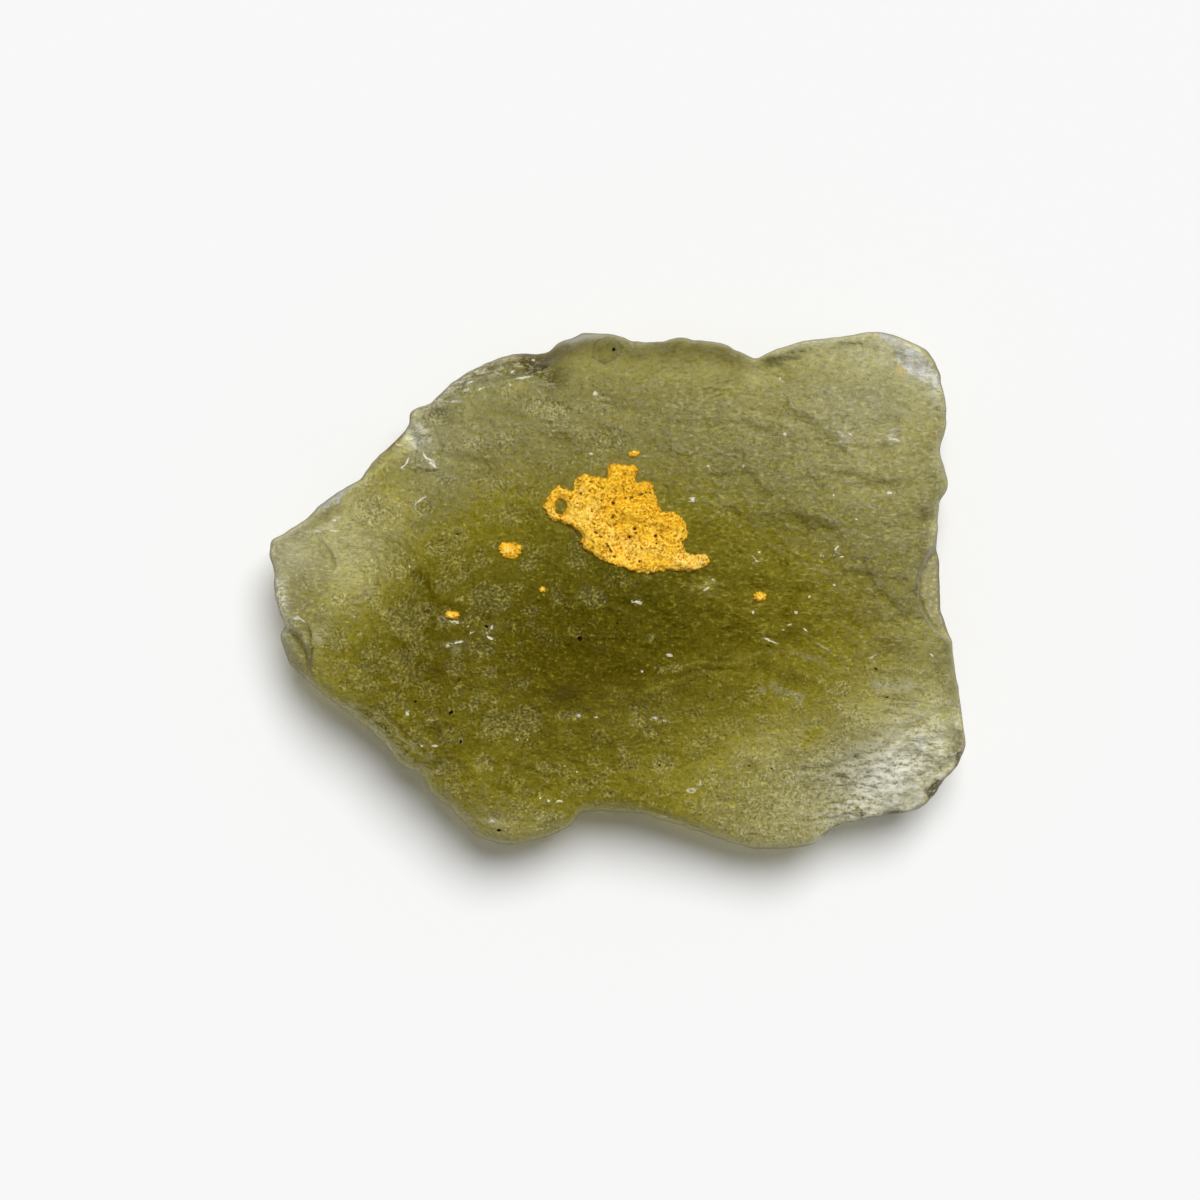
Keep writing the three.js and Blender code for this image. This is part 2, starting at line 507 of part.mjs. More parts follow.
function solidOf(geometry) {
  const bare = new THREE.BufferGeometry();
  bare.setAttribute("position", geometry.getAttribute("position"));
  bare.setIndex(geometry.index);
  const merged = mergeVertices(bare, 1e-4);
  return new wasm.Manifold(
    new wasm.Mesh({
      numProp: 3,
      vertProperties: merged.getAttribute("position").array,
      triVerts: new Uint32Array(merged.index.array),
    }),
  );
}

function geometryOf(solid) {
  const mesh = solid.getMesh();
  const geometry = new THREE.BufferGeometry();
  geometry.setAttribute("position", new THREE.BufferAttribute(mesh.vertProperties, 3));
  geometry.setIndex(new THREE.BufferAttribute(mesh.triVerts, 1));
  return geometry;
}

// The stone with every point lifted by what lift(x, y) gives.
function liftedStone(geometry, lift) {
  const lifted = geometry.clone();
  const position = lifted.getAttribute("position");
  for (let k = 0; k < position.count; k += 1) {
    const raise = lift(position.getX(k), position.getY(k));
    position.setZ(k, position.getZ(k) + raise);
  }
  return solidOf(lifted);
}

function crustThickness(x, y) {
  const { size, height, seed } = CRUST_LUMPS;
  return CRUST_THICKNESS + height * noise(x / size, y / size, seed);
}

// The crust: a prism of its outline and hole, between the glass and the same face lifted.
function crustGeometry(stone, stoneWithGap) {
  const shape = new THREE.Shape(CRUST_OUTLINE.map(([x, y]) => new THREE.Vector2(x, y)));
  const hole = new THREE.Path();
  const { x, y, a, b } = CRUST_HOLE;
  hole.absellipse(x, y, a, b, 0, 2 * Math.PI, false, 0);
  shape.holes.push(hole);
  const prism = new THREE.ExtrudeGeometry(shape, {
    depth: CRUST_CEILING - CRUST_FLOOR,
    bevelEnabled: false,
    curveSegments: 5,
  });
  prism.deleteAttribute("normal");
  prism.deleteAttribute("uv");
  prism.translate(0, 0, CRUST_FLOOR);
  const top = liftedStone(stone, (px, py) => CLAY_GAP + crustThickness(px, py));
  return geometryOf(solidOf(mergeVertices(prism)).intersect(top).subtract(stoneWithGap));
}

// A fleck: a flattened ball whose lower part is cut away by the glass.
function fleckGeometry(fleck, stoneWithGap) {
  const ball = new THREE.SphereGeometry(1, FLECK_ROUNDS, FLECK_ROUNDS / 2);
  ball.deleteAttribute("normal");
  ball.deleteAttribute("uv");
  ball.rotateX(Math.PI / 2);
  ball.scale(fleck.a, fleck.b, fleck.height + CLAY_GAP);
  ball.rotateZ(THREE.MathUtils.degToRad(fleck.turn));
  ball.translate(fleck.x, fleck.y, upperHeight(fleck.x, fleck.y));
  return geometryOf(solidOf(mergeVertices(ball, 1e-4)).subtract(stoneWithGap));
}

function namedMesh(name, geometry, material) {
  const mesh = new THREE.Mesh(geometry, material);
  mesh.name = name;
  return mesh;
}

const moldavite = new THREE.Group();
const stone = stoneGeometry();
const stoneWithGap = liftedStone(stone, () => CLAY_GAP);
moldavite.add(namedMesh("moldavite", stone, GLASS));
moldavite.add(namedMesh("clay_crust", crustGeometry(stone, stoneWithGap), CLAY));
for (const [name, fleck] of Object.entries(FLECKS)) {
  moldavite.add(namedMesh(name, fleckGeometry(fleck, stoneWithGap), CLAY));
}

export default moldavite;
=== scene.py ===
"""Dresses the raw moldavite: the etched glass, the ochre clay on it, and a plain studio.

The glass is one closed surface. Every point of it is a function of two numbers, the way round the
stone's outline and the share of the way out from its middle, and its height is a sum of swells,
scallops, terraces, ripples, dimples and noise. Lengths in the formulas are in millimetres.
"""

from types import SimpleNamespace

import bpy
import numpy as np
from bpy.props import FloatProperty, FloatVectorProperty, IntProperty, PointerProperty
from mathutils import Matrix, Vector


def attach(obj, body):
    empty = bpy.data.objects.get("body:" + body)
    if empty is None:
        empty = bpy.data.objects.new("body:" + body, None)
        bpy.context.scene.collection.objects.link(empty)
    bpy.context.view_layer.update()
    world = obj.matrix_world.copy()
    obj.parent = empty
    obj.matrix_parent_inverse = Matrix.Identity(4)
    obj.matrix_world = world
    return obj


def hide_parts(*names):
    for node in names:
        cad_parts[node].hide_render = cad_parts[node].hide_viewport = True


bl_info = {
    "name": "Raw moldavite",
    "version": (1, 0, 0),
    "blender": (4, 5, 0),
    "location": "3D View > Sidebar > Moldavite",
    "description": "Etched tektite glass with ochre clay, on a pale studio floor",
    "category": "Object",
}

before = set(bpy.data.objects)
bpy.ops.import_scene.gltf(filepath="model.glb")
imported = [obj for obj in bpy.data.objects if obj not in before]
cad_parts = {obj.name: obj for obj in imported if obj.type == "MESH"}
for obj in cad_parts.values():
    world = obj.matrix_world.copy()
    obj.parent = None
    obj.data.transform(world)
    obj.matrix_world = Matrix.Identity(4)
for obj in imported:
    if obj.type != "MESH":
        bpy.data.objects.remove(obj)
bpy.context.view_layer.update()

MM = 0.001
FLOOR_GAP = 0.0001  # the floor lies this far under the stone, so that the faces never coincide
BODY = "root"
GLASS_NODE = "moldavite"
CRUST_NODE = "clay_crust"

# The edge of the stone from above, clockwise from the blunt tip at its left end.
OUTLINE = [
    (-20, 2.3), (-19.9, 2.9), (-19.2, 3.3), (-18.2, 4), (-17, 5), (-15.4, 6.1), (-14.7, 6.5),
    (-13.6, 8), (-12.5, 8.9), (-12, 9.6), (-11.9, 10.3), (-10.6, 11), (-9.7, 11.9), (-8.1, 12.9),
    (-6.4, 13.6), (-4.1, 13.8), (-3.1, 14.5), (-1.6, 14.9), (-0.8, 14.9), (1.3, 14.4), (2.5, 14.4),
    (3.3, 14.6), (5.4, 14.4), (6.6, 14), (8, 13.4), (8.9, 13.8), (10.4, 14.3), (12.8, 14.6),
    (15.1, 14.9), (16.6, 14.5), (17.9, 13.8), (18.7, 12.1), (18.9, 9.5), (18.6, 8.1), (19.1, 6),
    (18.6, 5), (18.5, 2.9), (18.75, 0.9), (18.75, -1.2), (19.25, -2.8), (19.5, -4.5), (19.9, -7.2),
    (20, -8.5), (19.7, -9.8), (18.6, -11.3), (17.6, -12.5), (16, -12.9), (14.3, -13.2),
    (12.5, -13.7), (11.4, -14.6), (9.7, -14.9), (7.7, -14.9), (5.6, -14.2), (3.6, -13.6),
    (1.4, -12.9), (-0.7, -12.8), (-2, -12.8), (-2.7, -13.6), (-3.9, -14.2), (-6.1, -14.7),
    (-8, -14.2), (-9.1, -13.2), (-9.6, -12.6), (-10.8, -11.7), (-11.2, -10.9), (-12.5, -10),
    (-13.6, -8.7), (-15.7, -6.9), (-17.2, -5.8), (-18.8, -4.3), (-19.2, -3.5), (-19.4, -2.5),
    (-19.1, -2), (-19.4, -1.4), (-19.7, 0), (-19.8, 1.4),
]  # fmt: skip

# Swells of the thickness: centre x, y, half-widths, turn in degrees, height.
SWELLS = [
    (-1.5, -3.4, 9.5, 6, -4, 4.5),  # the belly
    (-11, -3.6, 3.8, 5.6, 0, 2.1),  # left shoulder
    (11.5, 1.6, 7, 5, -10, 2.2),  # right shoulder
    (-8.5, -10.5, 3.5, 3, 0, 1.2), (2, -12.6, 3.5, 2, 0, 0.9),
    (16.6, -9.8, 3.4, 3.2, 30, -2.3),  # thin lower right corner
    (9.5, -10.5, 3, 2.6, 0, -0.6),
    (-17.6, 2.4, 4.2, 3, -20, -1.1),  # thin left tip
    (-14.3, 0.9, 2.3, 2.2, 0, -1.5), (16, 12.5, 3.4, 3.4, 0, -1.1), (-12, 8.6, 2.4, 2.4, 0, -1.1),
    (-2, 10, 6, 5, 0, 0.5), (4, 5.5, 3, 2.5, 0, 0.6),
]  # fmt: skip

# Lumps of the lower face that reach the ground beside the belly.
KNOBS_BELOW = [
    (9.5, 2.2, 4.5, 3.4, -12, 0.85), (-3.5, 6, 4.2, 2.8, 8, 0.75), (-11.5, -4.5, 3.2, 3.8, 0, 0.35),
]  # fmt: skip

# Scallops: centre x, y, half-widths, turn in degrees, depth, share of the width that slopes.
SCALLOPS = [
    (7, -9.7, 6.6, 6.1, 0, 0.24, 0.2),  # broad, lower right
    (20, 0.1, 2.95, 3.3, 0, 2.3, 0.16),  # shelf at the right edge
    (-15.9, 6.6, 2, 0.8, 38, 1.1, 0.4), (-2.2, 15.2, 2, 0.9, 8, 1.1, 0.4),
    (-6.4, 13.7, 4.8, 1.7, 14, 0.55, 0.3),  # broken upper left edge
    (17.1, 13.4, 2.8, 1.4, -42, 0.5, 0.4),
    (-18.7, -3.7, 1.9, 1.1, -68, 0.8, 0.22),  # facet at the left end
    (9.2, 12.6, 2.3, 0.6, -27, 0.4, 0.9),  # crease below the notch
    (-0.6, 13.7, 0.8, 0.75, 0, 0.3, 0.6), (18.2, -11.6, 0.9, 0.6, 50, 0.4, 0.5),
    (-12.2, 8.7, 1.5, 1, -50, 0.5, 0.5),  # crushed spot
    (-17, 1.6, 1, 2.1, 24, 0.3, 0.8), (9, 8.6, 4.6, 2, -14, 0.32, 0.3),
    (14.2, 5, 3.6, 1.9, -20, 0.3, 0.3), (10.8, 2.9, 3.2, 1.4, -24, 0.28, 0.3),
    (-4, 10.4, 1.6, 0.7, -6, 0.2, 0.4),
]  # fmt: skip
SCALLOPS_BELOW = [
    (-12.5, 5.5, 4.5, 2.6, 35, 0.6, 0.4), (6, 10.2, 6, 2.8, -6, 0.5, 0.35),
    (14.5, -6.5, 4.4, 3.2, 35, 0.5, 0.4), (-4, -11, 4.6, 2, 4, 0.4, 0.4),
]  # fmt: skip

# Shallow round bowls of the etched skin: centre x, y, half-widths, turn in degrees, depth.
BOWL_SIDE = 0.7
BOWLS = [
    (-7.2, -0.5, 1.5, 1, -10, 0.16), (-6.1, 4.3, 0.8, 0.8, 0, 0.15),
    (-1.4, -0.4, 1, 0.65, -10, 0.16), (-9.3, 3, 1, 0.8, 0, 0.12), (-10.2, 2.4, 0.9, 0.6, 0, 0.12),
    (-14.1, 4.6, 1.1, 1, 0, 0.2), (-11, 4.7, 0.6, 0.6, 0, 0.18), (-10.1, 9.9, 0.6, 0.55, 0, 0.15),
    (-12, -2.1, 1, 0.8, 0, 0.14), (-12.2, -3.9, 1, 0.7, 0, 0.14), (-11, -1.2, 0.6, 0.6, 0, 0.12),
    (-9.2, -4.4, 0.7, 0.55, 0, 0.12), (-7.5, -3.4, 0.7, 0.5, 0, 0.12),
    (-6.8, -7.6, 1.1, 0.9, 0, 0.16), (-7.6, -9.8, 0.7, 0.6, 0, 0.15),
    (-5.2, -7.4, 1.1, 1.1, 0, 0.12), (-0.5, 8.7, 1.2, 0.9, 0, 0.15), (2.6, -9.9, 0.8, 0.7, 0, 0.12),
    (1.2, -7.4, 0.6, 0.5, 0, 0.1), (15.1, 1.8, 1.1, 1.5, 10, 0.15), (-18, 1.9, 1.5, 1, 0, 0.15),
]  # fmt: skip
# Smaller ones, too small for the solid.
SMALL_BOWLS = [
    (-5.1, 1.4, 0.7, 0.35, 0, 0.06), (-8.7, 0.9, 0.5, 0.4, 0, 0.06),
    (-3.4, -0.4, 0.45, 0.4, 0, 0.06), (-4.9, -1.2, 0.6, 0.35, 0, 0.06),
    (-2.3, 1.6, 0.7, 0.4, 0, 0.06), (-9, -5.8, 0.3, 0.3, 0, 0.05),
    (-8.1, -6.5, 0.35, 0.35, 0, 0.05), (-7, -6.2, 0.3, 0.25, 0, 0.05),
    (-7.2, -4.6, 0.5, 0.45, 0, 0.06), (-5.3, -5.3, 0.35, 0.4, 0, 0.06),
    (1, -6.7, 0.4, 0.35, 0, 0.06), (1.6, -6.7, 0.3, 0.25, 0, 0.05), (1.9, -8.1, 0.5, 0.4, 0, 0.06),
    (2.3, -7.3, 0.5, 0.25, 0, 0.06), (0.3, -9.2, 0.3, 0.5, 0, 0.05),
    (-3.9, -10.1, 1, 0.3, -12, 0.06), (-0.4, -10.2, 0.5, 0.2, 0, 0.05),
    (-1.3, -9.8, 0.5, 0.25, 0, 0.05), (-0.5, -11.6, 0.6, 0.25, 5, 0.06),
    (-4.1, -12.9, 0.8, 0.5, 0, 0.06), (-10.9, 9.9, 0.4, 0.35, 0, 0.06),
    (-6.4, 8.6, 0.8, 0.4, 0, 0.06), (-8, 8.3, 1, 0.5, 0, 0.06), (-6.9, 6.1, 0.5, 0.45, 0, 0.06),
    (-7.7, 6.3, 0.6, 0.4, 0, 0.06), (-12.5, 1, 0.6, 0.45, 0, -0.1),
    (-12.6, 4.4, 0.4, 0.45, 0, 0.06), (-13, -1.4, 0.6, 0.5, 0, 0.06),
    (-11.3, -3.2, 0.5, 0.5, 0, 0.06), (-14.2, -4.4, 1.1, 0.3, -5, 0.06),
    (-12.5, -5, 0.4, 0.4, 0, 0.05), (-10.8, -6.9, 0.3, 0.25, 0, 0.05),
    (-7.3, -13.1, 0.6, 0.3, 0, 0.06), (-2.8, -7.1, 1, 0.3, 0, 0.06),
    (1.9, -2.7, 0.35, 0.3, 0, 0.05), (3.3, -4.4, 0.45, 0.3, 0, 0.05),
    (2.5, -4.5, 0.35, 0.35, 0, 0.05), (7.7, 8.4, 0.3, 0.25, 0, 0.05), (7, 8.45, 0.25, 0.2, 0, 0.05),
    (12.3, -9.4, 1, 0.6, 0, 0.06), (12.8, -10.8, 0.7, 0.35, -5, 0.06),
    (6.1, 4.5, 0.5, 0.4, 0, 0.05),
]  # fmt: skip

# Ledges: height, how far back the raised side reaches, and the line of the drop. The raised side
# is on the left of the way that the line runs.
LEDGES = [
    (0.26, 1.2, [(6.8, 10), (7.4, 9.6), (8, 9.3), (8.6, 9.25), (9.1, 9.5)]),
    (0.18, 1, [(5.4, 8.1), (5.8, 7.7), (6.3, 7.5), (6.8, 7.7), (7.1, 8.1)]),
    (0.22, 1.1, [(8.1, 7.6), (8, 6.9), (8.1, 6.2), (8.5, 5.7), (9.3, 5.5)]),
    (0.24, 1.4, [(9.75, 12), (9.75, 11.2), (9.8, 10.5), (10.4, 10.2), (11.2, 9.85), (12.3, 9.5)]),
    # a light ridge
    (0.25, 0.9, [(13.6, 8.8), (12.8, 9.4), (12.3, 10.3), (11.8, 11), (11.45, 12.2)]),
    (0.25, 1.6, [(10.6, 7.4), (11.6, 7.05), (12.8, 6.65), (14, 6.4), (15, 6.2), (16.6, 6.2)]),
    (0.2, 0.9, [(12.3, 8.5), (13.1, 8), (13.9, 7.4), (14.5, 6.9)]),
    (0.22, 1.5, [(10.1, 4.3), (10.7, 3.95), (11.4, 3.65), (12.4, 3.6), (13.8, 3.8)]),
    (0.18, 1, [(9.1, 3.7), (9.9, 3.4), (10.5, 3.2), (11.2, 3)]),
    (0.18, 1.1, [(12.4, 5), (13.2, 4.6), (14.4, 4.6), (15.2, 4.5), (16.3, 4.65)]),
    (0.28, 1.6, [(13.9, 3), (13.95, 1.9), (14.3, 1), (15, 0.1), (15.9, -0.9), (16.6, -1.6)]),
    (0.25, 1, [(9.9, -10.4), (10.9, -10.1), (12.2, -10.05), (13.2, -9.7), (13.9, -9.25),
        (15, -9.4)]),
    (0.25, 0.8, [(12, -11.2), (13, -11.15), (13.8, -10.9), (14.5, -10.8)]),
    (0.2, 0.8, [(16.2, -8.1), (16.3, -7.6), (17.1, -7.5), (18.4, -7.3)]),
    (0.25, 0.9, [(16.6, -10.8), (17.6, -10.4), (18.6, -10), (19.3, -9.8)]),
    # below the oval hollow
    (0.2, 0.8, [(-5.7, 10.4), (-4.8, 10.05), (-3.9, 9.7), (-3.2, 9.6), (-2.6, 9.9)]),
    (0.2, 1.1, [(3.4, 11.6), (4.3, 11.4), (5.2, 11.6), (6, 11.35), (7.2, 11.35)]),
    (0.2, 1, [(-2, 12.8), (-1, 12.7), (0, 12.6), (1.1, 12.55)]),
    # crack at the left end
    (0.25, 0.9, [(-17.1, 3.2), (-16.6, 2.6), (-16.2, 2), (-16.1, 1.4), (-16.4, 0.6)]),
    # beside the left facet
    (0.25, 0.8, [(-17.6, -1.9), (-17.4, -2.6), (-17.35, -3.4), (-17.5, -4.4)]),
    (0.2, 0.9, [(-12.3, 7), (-11.4, 6.9), (-10.4, 6.9), (-9.6, 7.1)]),  # foot of the crushed spot
    (0.2, 0.9, [(-15.3, -0.8), (-14.7, -0.8), (-14.2, -0.4), (-13.5, -0.3), (-13, 0.1)]),
    (0.2, 1, [(-7, -9.1), (-6, -9.7), (-5, -10.1), (-3.8, -10.5), (-2.4, -10.4)]),
]  # fmt: skip
# Finer ledges, in the same way.
FINE_LEDGES = [
    (0.1, 0.5, [(6.1, 10), (6.5, 9.65), (6.9, 9.5)]),
    (0.1, 0.5, [(5.5, 10.8), (6, 10.6), (6.5, 10.3)]),
    (0.08, 0.5, [(4.2, 10.35), (5, 10.2), (5.7, 10.4)]),
    (0.08, 0.5, [(6.9, 10.5), (7.7, 10.45), (8.4, 10.55)]),
    (0.1, 0.6, [(4, 11.35), (4.6, 11.1), (5.2, 11.05)]),
    (0.12, 0.7, [(3.2, 7.55), (4, 7.8), (4.9, 8.15)]),
    (0.1, 0.5, [(6.5, 7.1), (7.2, 7.05), (7.7, 7.4), (8.1, 7.5)]),
    (0.12, 0.6, [(10.9, 6.9), (11.2, 6.45), (11.8, 6.35)]),
    (0.1, 0.5, [(15.7, 6.7), (16.2, 6.35), (16.7, 6.4)]),
    (0.12, 0.6, [(6, 2.2), (7, 2.3), (7.6, 2.8)]),
    (0.12, 0.5, [(7.8, 2.5), (8.2, 2.45), (8.7, 2.45)]),
    (0.12, 0.6, [(14.8, -3.3), (15.5, -3.5), (16.5, -3.2), (17.3, -3.5)]),
    (0.12, 0.6, [(13.9, -4.5), (15, -4.6), (16.5, -4.75), (18.2, -4.9)]),
    (0.12, 0.6, [(14.2, -5.7), (15, -6), (15.8, -6.1), (17.2, -5.7)]),
    (0.15, 0.4, [(16.9, -4.1), (17.5, -4), (17.75, -3.7), (17.75, -3.1)]),
    (0.1, 0.5, [(17, -5.3), (17.5, -5.9), (18.1, -6.15)]),
    (0.15, 0.6, [(10.2, -11.35), (10.8, -11.05), (11.4, -11.1)]),
    (0.15, 0.6, [(11.8, -10.8), (12.2, -10.5), (12.9, -10.5), (13.3, -10.95)]),
    (0.12, 0.5, [(10.8, -11.65), (11.5, -11.5), (11.9, -11.1)]),
    (0.12, 0.5, [(11, -9.7), (11.1, -9.25), (11.5, -9.15)]),
    (0.12, 0.5, [(17, -9.9), (17.7, -9.3), (18.5, -9.2)]),
    (0.1, 0.5, [(7.3, -4.35), (8.3, -4.2), (9.2, -4.35)]),
    (0.1, 0.5, [(3.3, -9.55), (4.1, -9.4), (4.9, -9.3)]),
    (0.1, 0.5, [(5.5, -10.8), (6.1, -10.7), (6.5, -10.5), (7.1, -10.4)]),
    (0.12, 0.6, [(8.6, -10.9), (8.9, -10.5), (9.3, -10.35), (10, -10.4)]),
    (0.12, 0.6, [(7.8, -11.6), (8.3, -11.2), (9, -11.3), (10.1, -11.2)]),
    (0.1, 0.5, [(5.3, -11.7), (6, -11.75), (6.5, -11.9), (7.7, -11.85)]),
    (0.1, 0.5, [(-0.1, -6.5), (0.3, -6.15), (0.8, -6.05)]),
    (0.08, 0.4, [(-2, -7), (-1.5, -6.85), (-1, -6.8)]),
    (0.08, 0.5, [(-6.2, -12.4), (-5, -12.5), (-4, -12.3), (-2.9, -12.4)]),
    (0.12, 0.6, [(-11.2, -5.2), (-10.4, -5.6), (-9.8, -6.1)]),
    (0.12, 0.5, [(-10.4, -7.4), (-9.8, -7.45), (-9.3, -7.7)]),
    (0.1, 0.6, [(-15, 5.1), (-14.3, 5.4), (-13.7, 5.4)]),
    (0.1, 0.5, [(-15.1, 3.6), (-14, 3.6), (-13.3, 3.7), (-13.1, 4.1), (-13.1, 4.8)]),
    (0.1, 0.6, [(-19.1, 0.3), (-18.6, 0.35), (-18, 0.55), (-17.2, 0.55), (-16.5, 0.5)]),
    (0.1, 0.5, [(-13.2, 2), (-12.9, 1.6), (-12.95, 1.2), (-13.1, 0.9)]),
    (0.1, 0.6, [(-1.4, 11.5), (-0.8, 11.3), (-0.3, 11.05), (0.2, 11)]),
    (0.1, 0.5, [(-1, 10.95), (-0.4, 10.75), (0.1, 10.5), (0.5, 10.6)]),
    (0.12, 0.6, [(0.2, 11.45), (0.8, 11.3), (1.7, 11.35)]),
    (0.1, 0.5, [(0.5, 12.15), (1.3, 12.3), (2, 12.2)]),
    (0.08, 0.5, [(-4.8, 9.15), (-4, 9.1), (-3.5, 9.05)]),
    (0.1, 0.5, [(-6.9, 7.9), (-6.2, 7.8), (-5.2, 7.95)]),
    (0.1, 0.5, [(-7.4, 8.4), (-6.5, 8.35), (-6, 8.6)]),
]  # fmt: skip
LEDGE_SLOPE = 0.12  # half the width of the drop
LEDGE_FOOT = 0.4  # share of a ledge's height that lies below the skin around it
LEDGE_TAPER = 0.3  # share of the line over which each end fades out
BAND_TAPER = 0.08
LEDGE_SWAY = (0.7, 0.6, 0.13, 51)  # how the lines wander: spacing along and across, amount, seed

# Hair lines on the skin, dark below 0 and white above: tone and points.
LINES = [
    (-0.9, [(-17.6, -1.8), (-17.4, -2.5), (-17.3, -3.1)]),
    (-0.5, [(-13.7, 0.9), (-13.6, 0.4), (-13.8, 0.25), (-13.4, 0.2)]),
    (-0.7, [(-12.2, 7), (-11.4, 6.93), (-10.6, 6.87), (-9.7, 7)]),
    (-0.7, [(-9.1, -5.3), (-8.9, -5.1), (-8.7, -4.9)]),
    (-0.7, [(13.9, -12.4), (14, -13), (14.1, -13.4)]),
    (-0.4, [(4.2, -7.8), (4.7, -8.1), (5, -8.3), (5.4, -8.7)]),
    (-0.4, [(-3.2, -12.7), (-3.7, -13), (-4.2, -13.4)]),
    (-0.3, [(15.1, -6.2), (17, -6.3), (19, -6.6)]),
    (-0.3, [(14.8, -6.45), (16.5, -6.65), (18.7, -7.15)]),
    (-0.35, [(14.6, -6.85), (16, -7), (17.8, -7.3)]),
    (0.35, [(15, -6.65), (16.6, -6.85), (18.1, -7.15)]),
    (0.4, [(14.9, -7.1), (15.8, -7.2), (16.8, -7.35)]),
    (0.9, [(-11.55, 4.6), (-11.45, 4.95), (-11.15, 5.2), (-10.7, 5.3)]),
    (1, [(-11.3, 8.1), (-11.1, 7.8), (-10.85, 7.5), (-10.3, 7.3)]),
    (1, [(-10.9, 7.3), (-10.7, 7.2), (-10.3, 6.95)]),
    (0.9, [(-11.75, 7.85), (-12, 7.35), (-12.35, 7.05), (-12.2, 6.75)]),
    (0.8, [(-11.35, 8.55), (-11.3, 8.3), (-11.25, 8)]),
    (0.8, [(-12.75, 8.35), (-12.5, 8.25), (-12.3, 8.35)]),
    (0.6, [(-12, 9.2), (-11.5, 9.3), (-11, 9.6)]),
    (0.35, [(-7.4, 8.9), (-6.6, 9.05), (-6.1, 8.85), (-5.8, 8.5)]),
    (0.7, [(7.55, 2.2), (7.8, 1.85), (8, 1.65), (8.3, 1.75)]),
    (0.9, [(8.2, -2.8), (8.8, -2.9), (9.4, -2.97)]),
    (0.5, [(11.2, -2.9), (11.8, -3.3), (12.3, -3.55)]),
    (0.6, [(14.2, -3.88), (14.6, -3.8), (14.9, -3.65), (15.05, -3.4)]),
    (0.8, [(15.2, 8.65), (15.8, 8.7), (16.5, 8.5)]),
    (0.7, [(15.3, 8.93), (15.6, 8.97), (16, 8.9)]),
    (0.5, [(15.6, 9.25), (16, 9.22), (16.4, 9.1)]),
    (0.7, [(12.3, 9.1), (12.7, 8.9), (13.2, 8.75)]),
    (0.6, [(12.6, 8.7), (13, 8.5), (13.3, 8.25)]),
    (0.5, [(-15.4, -6.5), (-13.9, -7.75), (-12.5, -9.1), (-11.3, -10.4)]),
    (-0.6, [(-15.2, -6.2), (-13.7, -7.45), (-12.2, -8.9), (-11, -10.2)]),
    (0.4, [(-15, -5.95), (-13.5, -7.15), (-12, -8.6), (-10.7, -9.9)]),
    (-0.5, [(-14.4, -6.1), (-13.2, -7), (-11.8, -8.3), (-10.6, -9.5)]),
    (0.7, [(-18.8, -1.75), (-18.15, -1.5), (-17.8, -1.8), (-17.5, -2.1)]),
    (0.45, [(-8.45, -6.3), (-8.3, -6.7), (-8.45, -7.2)]),
    (0.5, [(11, -13.5), (12, -13), (12.9, -12.6)]),
    (0.9, [(11, -14.5), (11.5, -14.25), (12, -13.95)]),
    (0.6, [(16.6, -10.3), (17.5, -10.05), (18.1, -9.65)]),
    (0.6, [(16, -9), (16.9, -8.85), (17.6, -8.55)]),
    (0.5, [(16.3, -12.65), (17.2, -12.55), (18, -12.3)]),
]  # fmt: skip
LINE_REACH = (0.14, 0.32)  # how far a line's numbers are kept beside it, in full and fading out

# Soft bands, paler above 0 and deeper below: amount, width and points.
BANDS = [
    (0.22, 0.16, [(2.3, -4.7), (3.2, -4.4), (5, -4.1), (6.2, -4.15), (7.2, -3.8), (8.5, -3.5),
        (10, -3.6), (12.3, -4.3)]),
    (0.22, 0.16, [(0.9, -6.3), (1.6, -5.7), (2.8, -5.4), (3.5, -5.1), (4.3, -4.75), (5.2, -4.6),
        (6.6, -4.6)]),
    (0.25, 0.25, [(8.4, -5.3), (9.5, -5.8), (10.7, -6.3)]),
    (-0.2, 0.12, [(3, -4.8), (4.4, -4.53), (5.5, -4.4), (7.2, -4.45)]),
    (-0.2, 0.25, [(10.3, 0.3), (10.1, -0.6), (9.8, -1.1), (9.3, -1.7)]),
    (-0.2, 0.25, [(-11.4, 1.4), (-10.8, 0.5), (-10.4, -0.2), (-9.9, -0.8), (-8.6, -1.3),
        (-7, -1.4)]),
    (-0.2, 0.3, [(10.7, -9), (11, -8.4), (11.6, -7.8)]),
    (-0.2, 0.3, [(-6.9, -11.1), (-6, -11.5)]),
    (0.2, 0.25, [(14.3, -5.3), (15.5, -5.5), (17, -5.45)]),
]  # fmt: skip
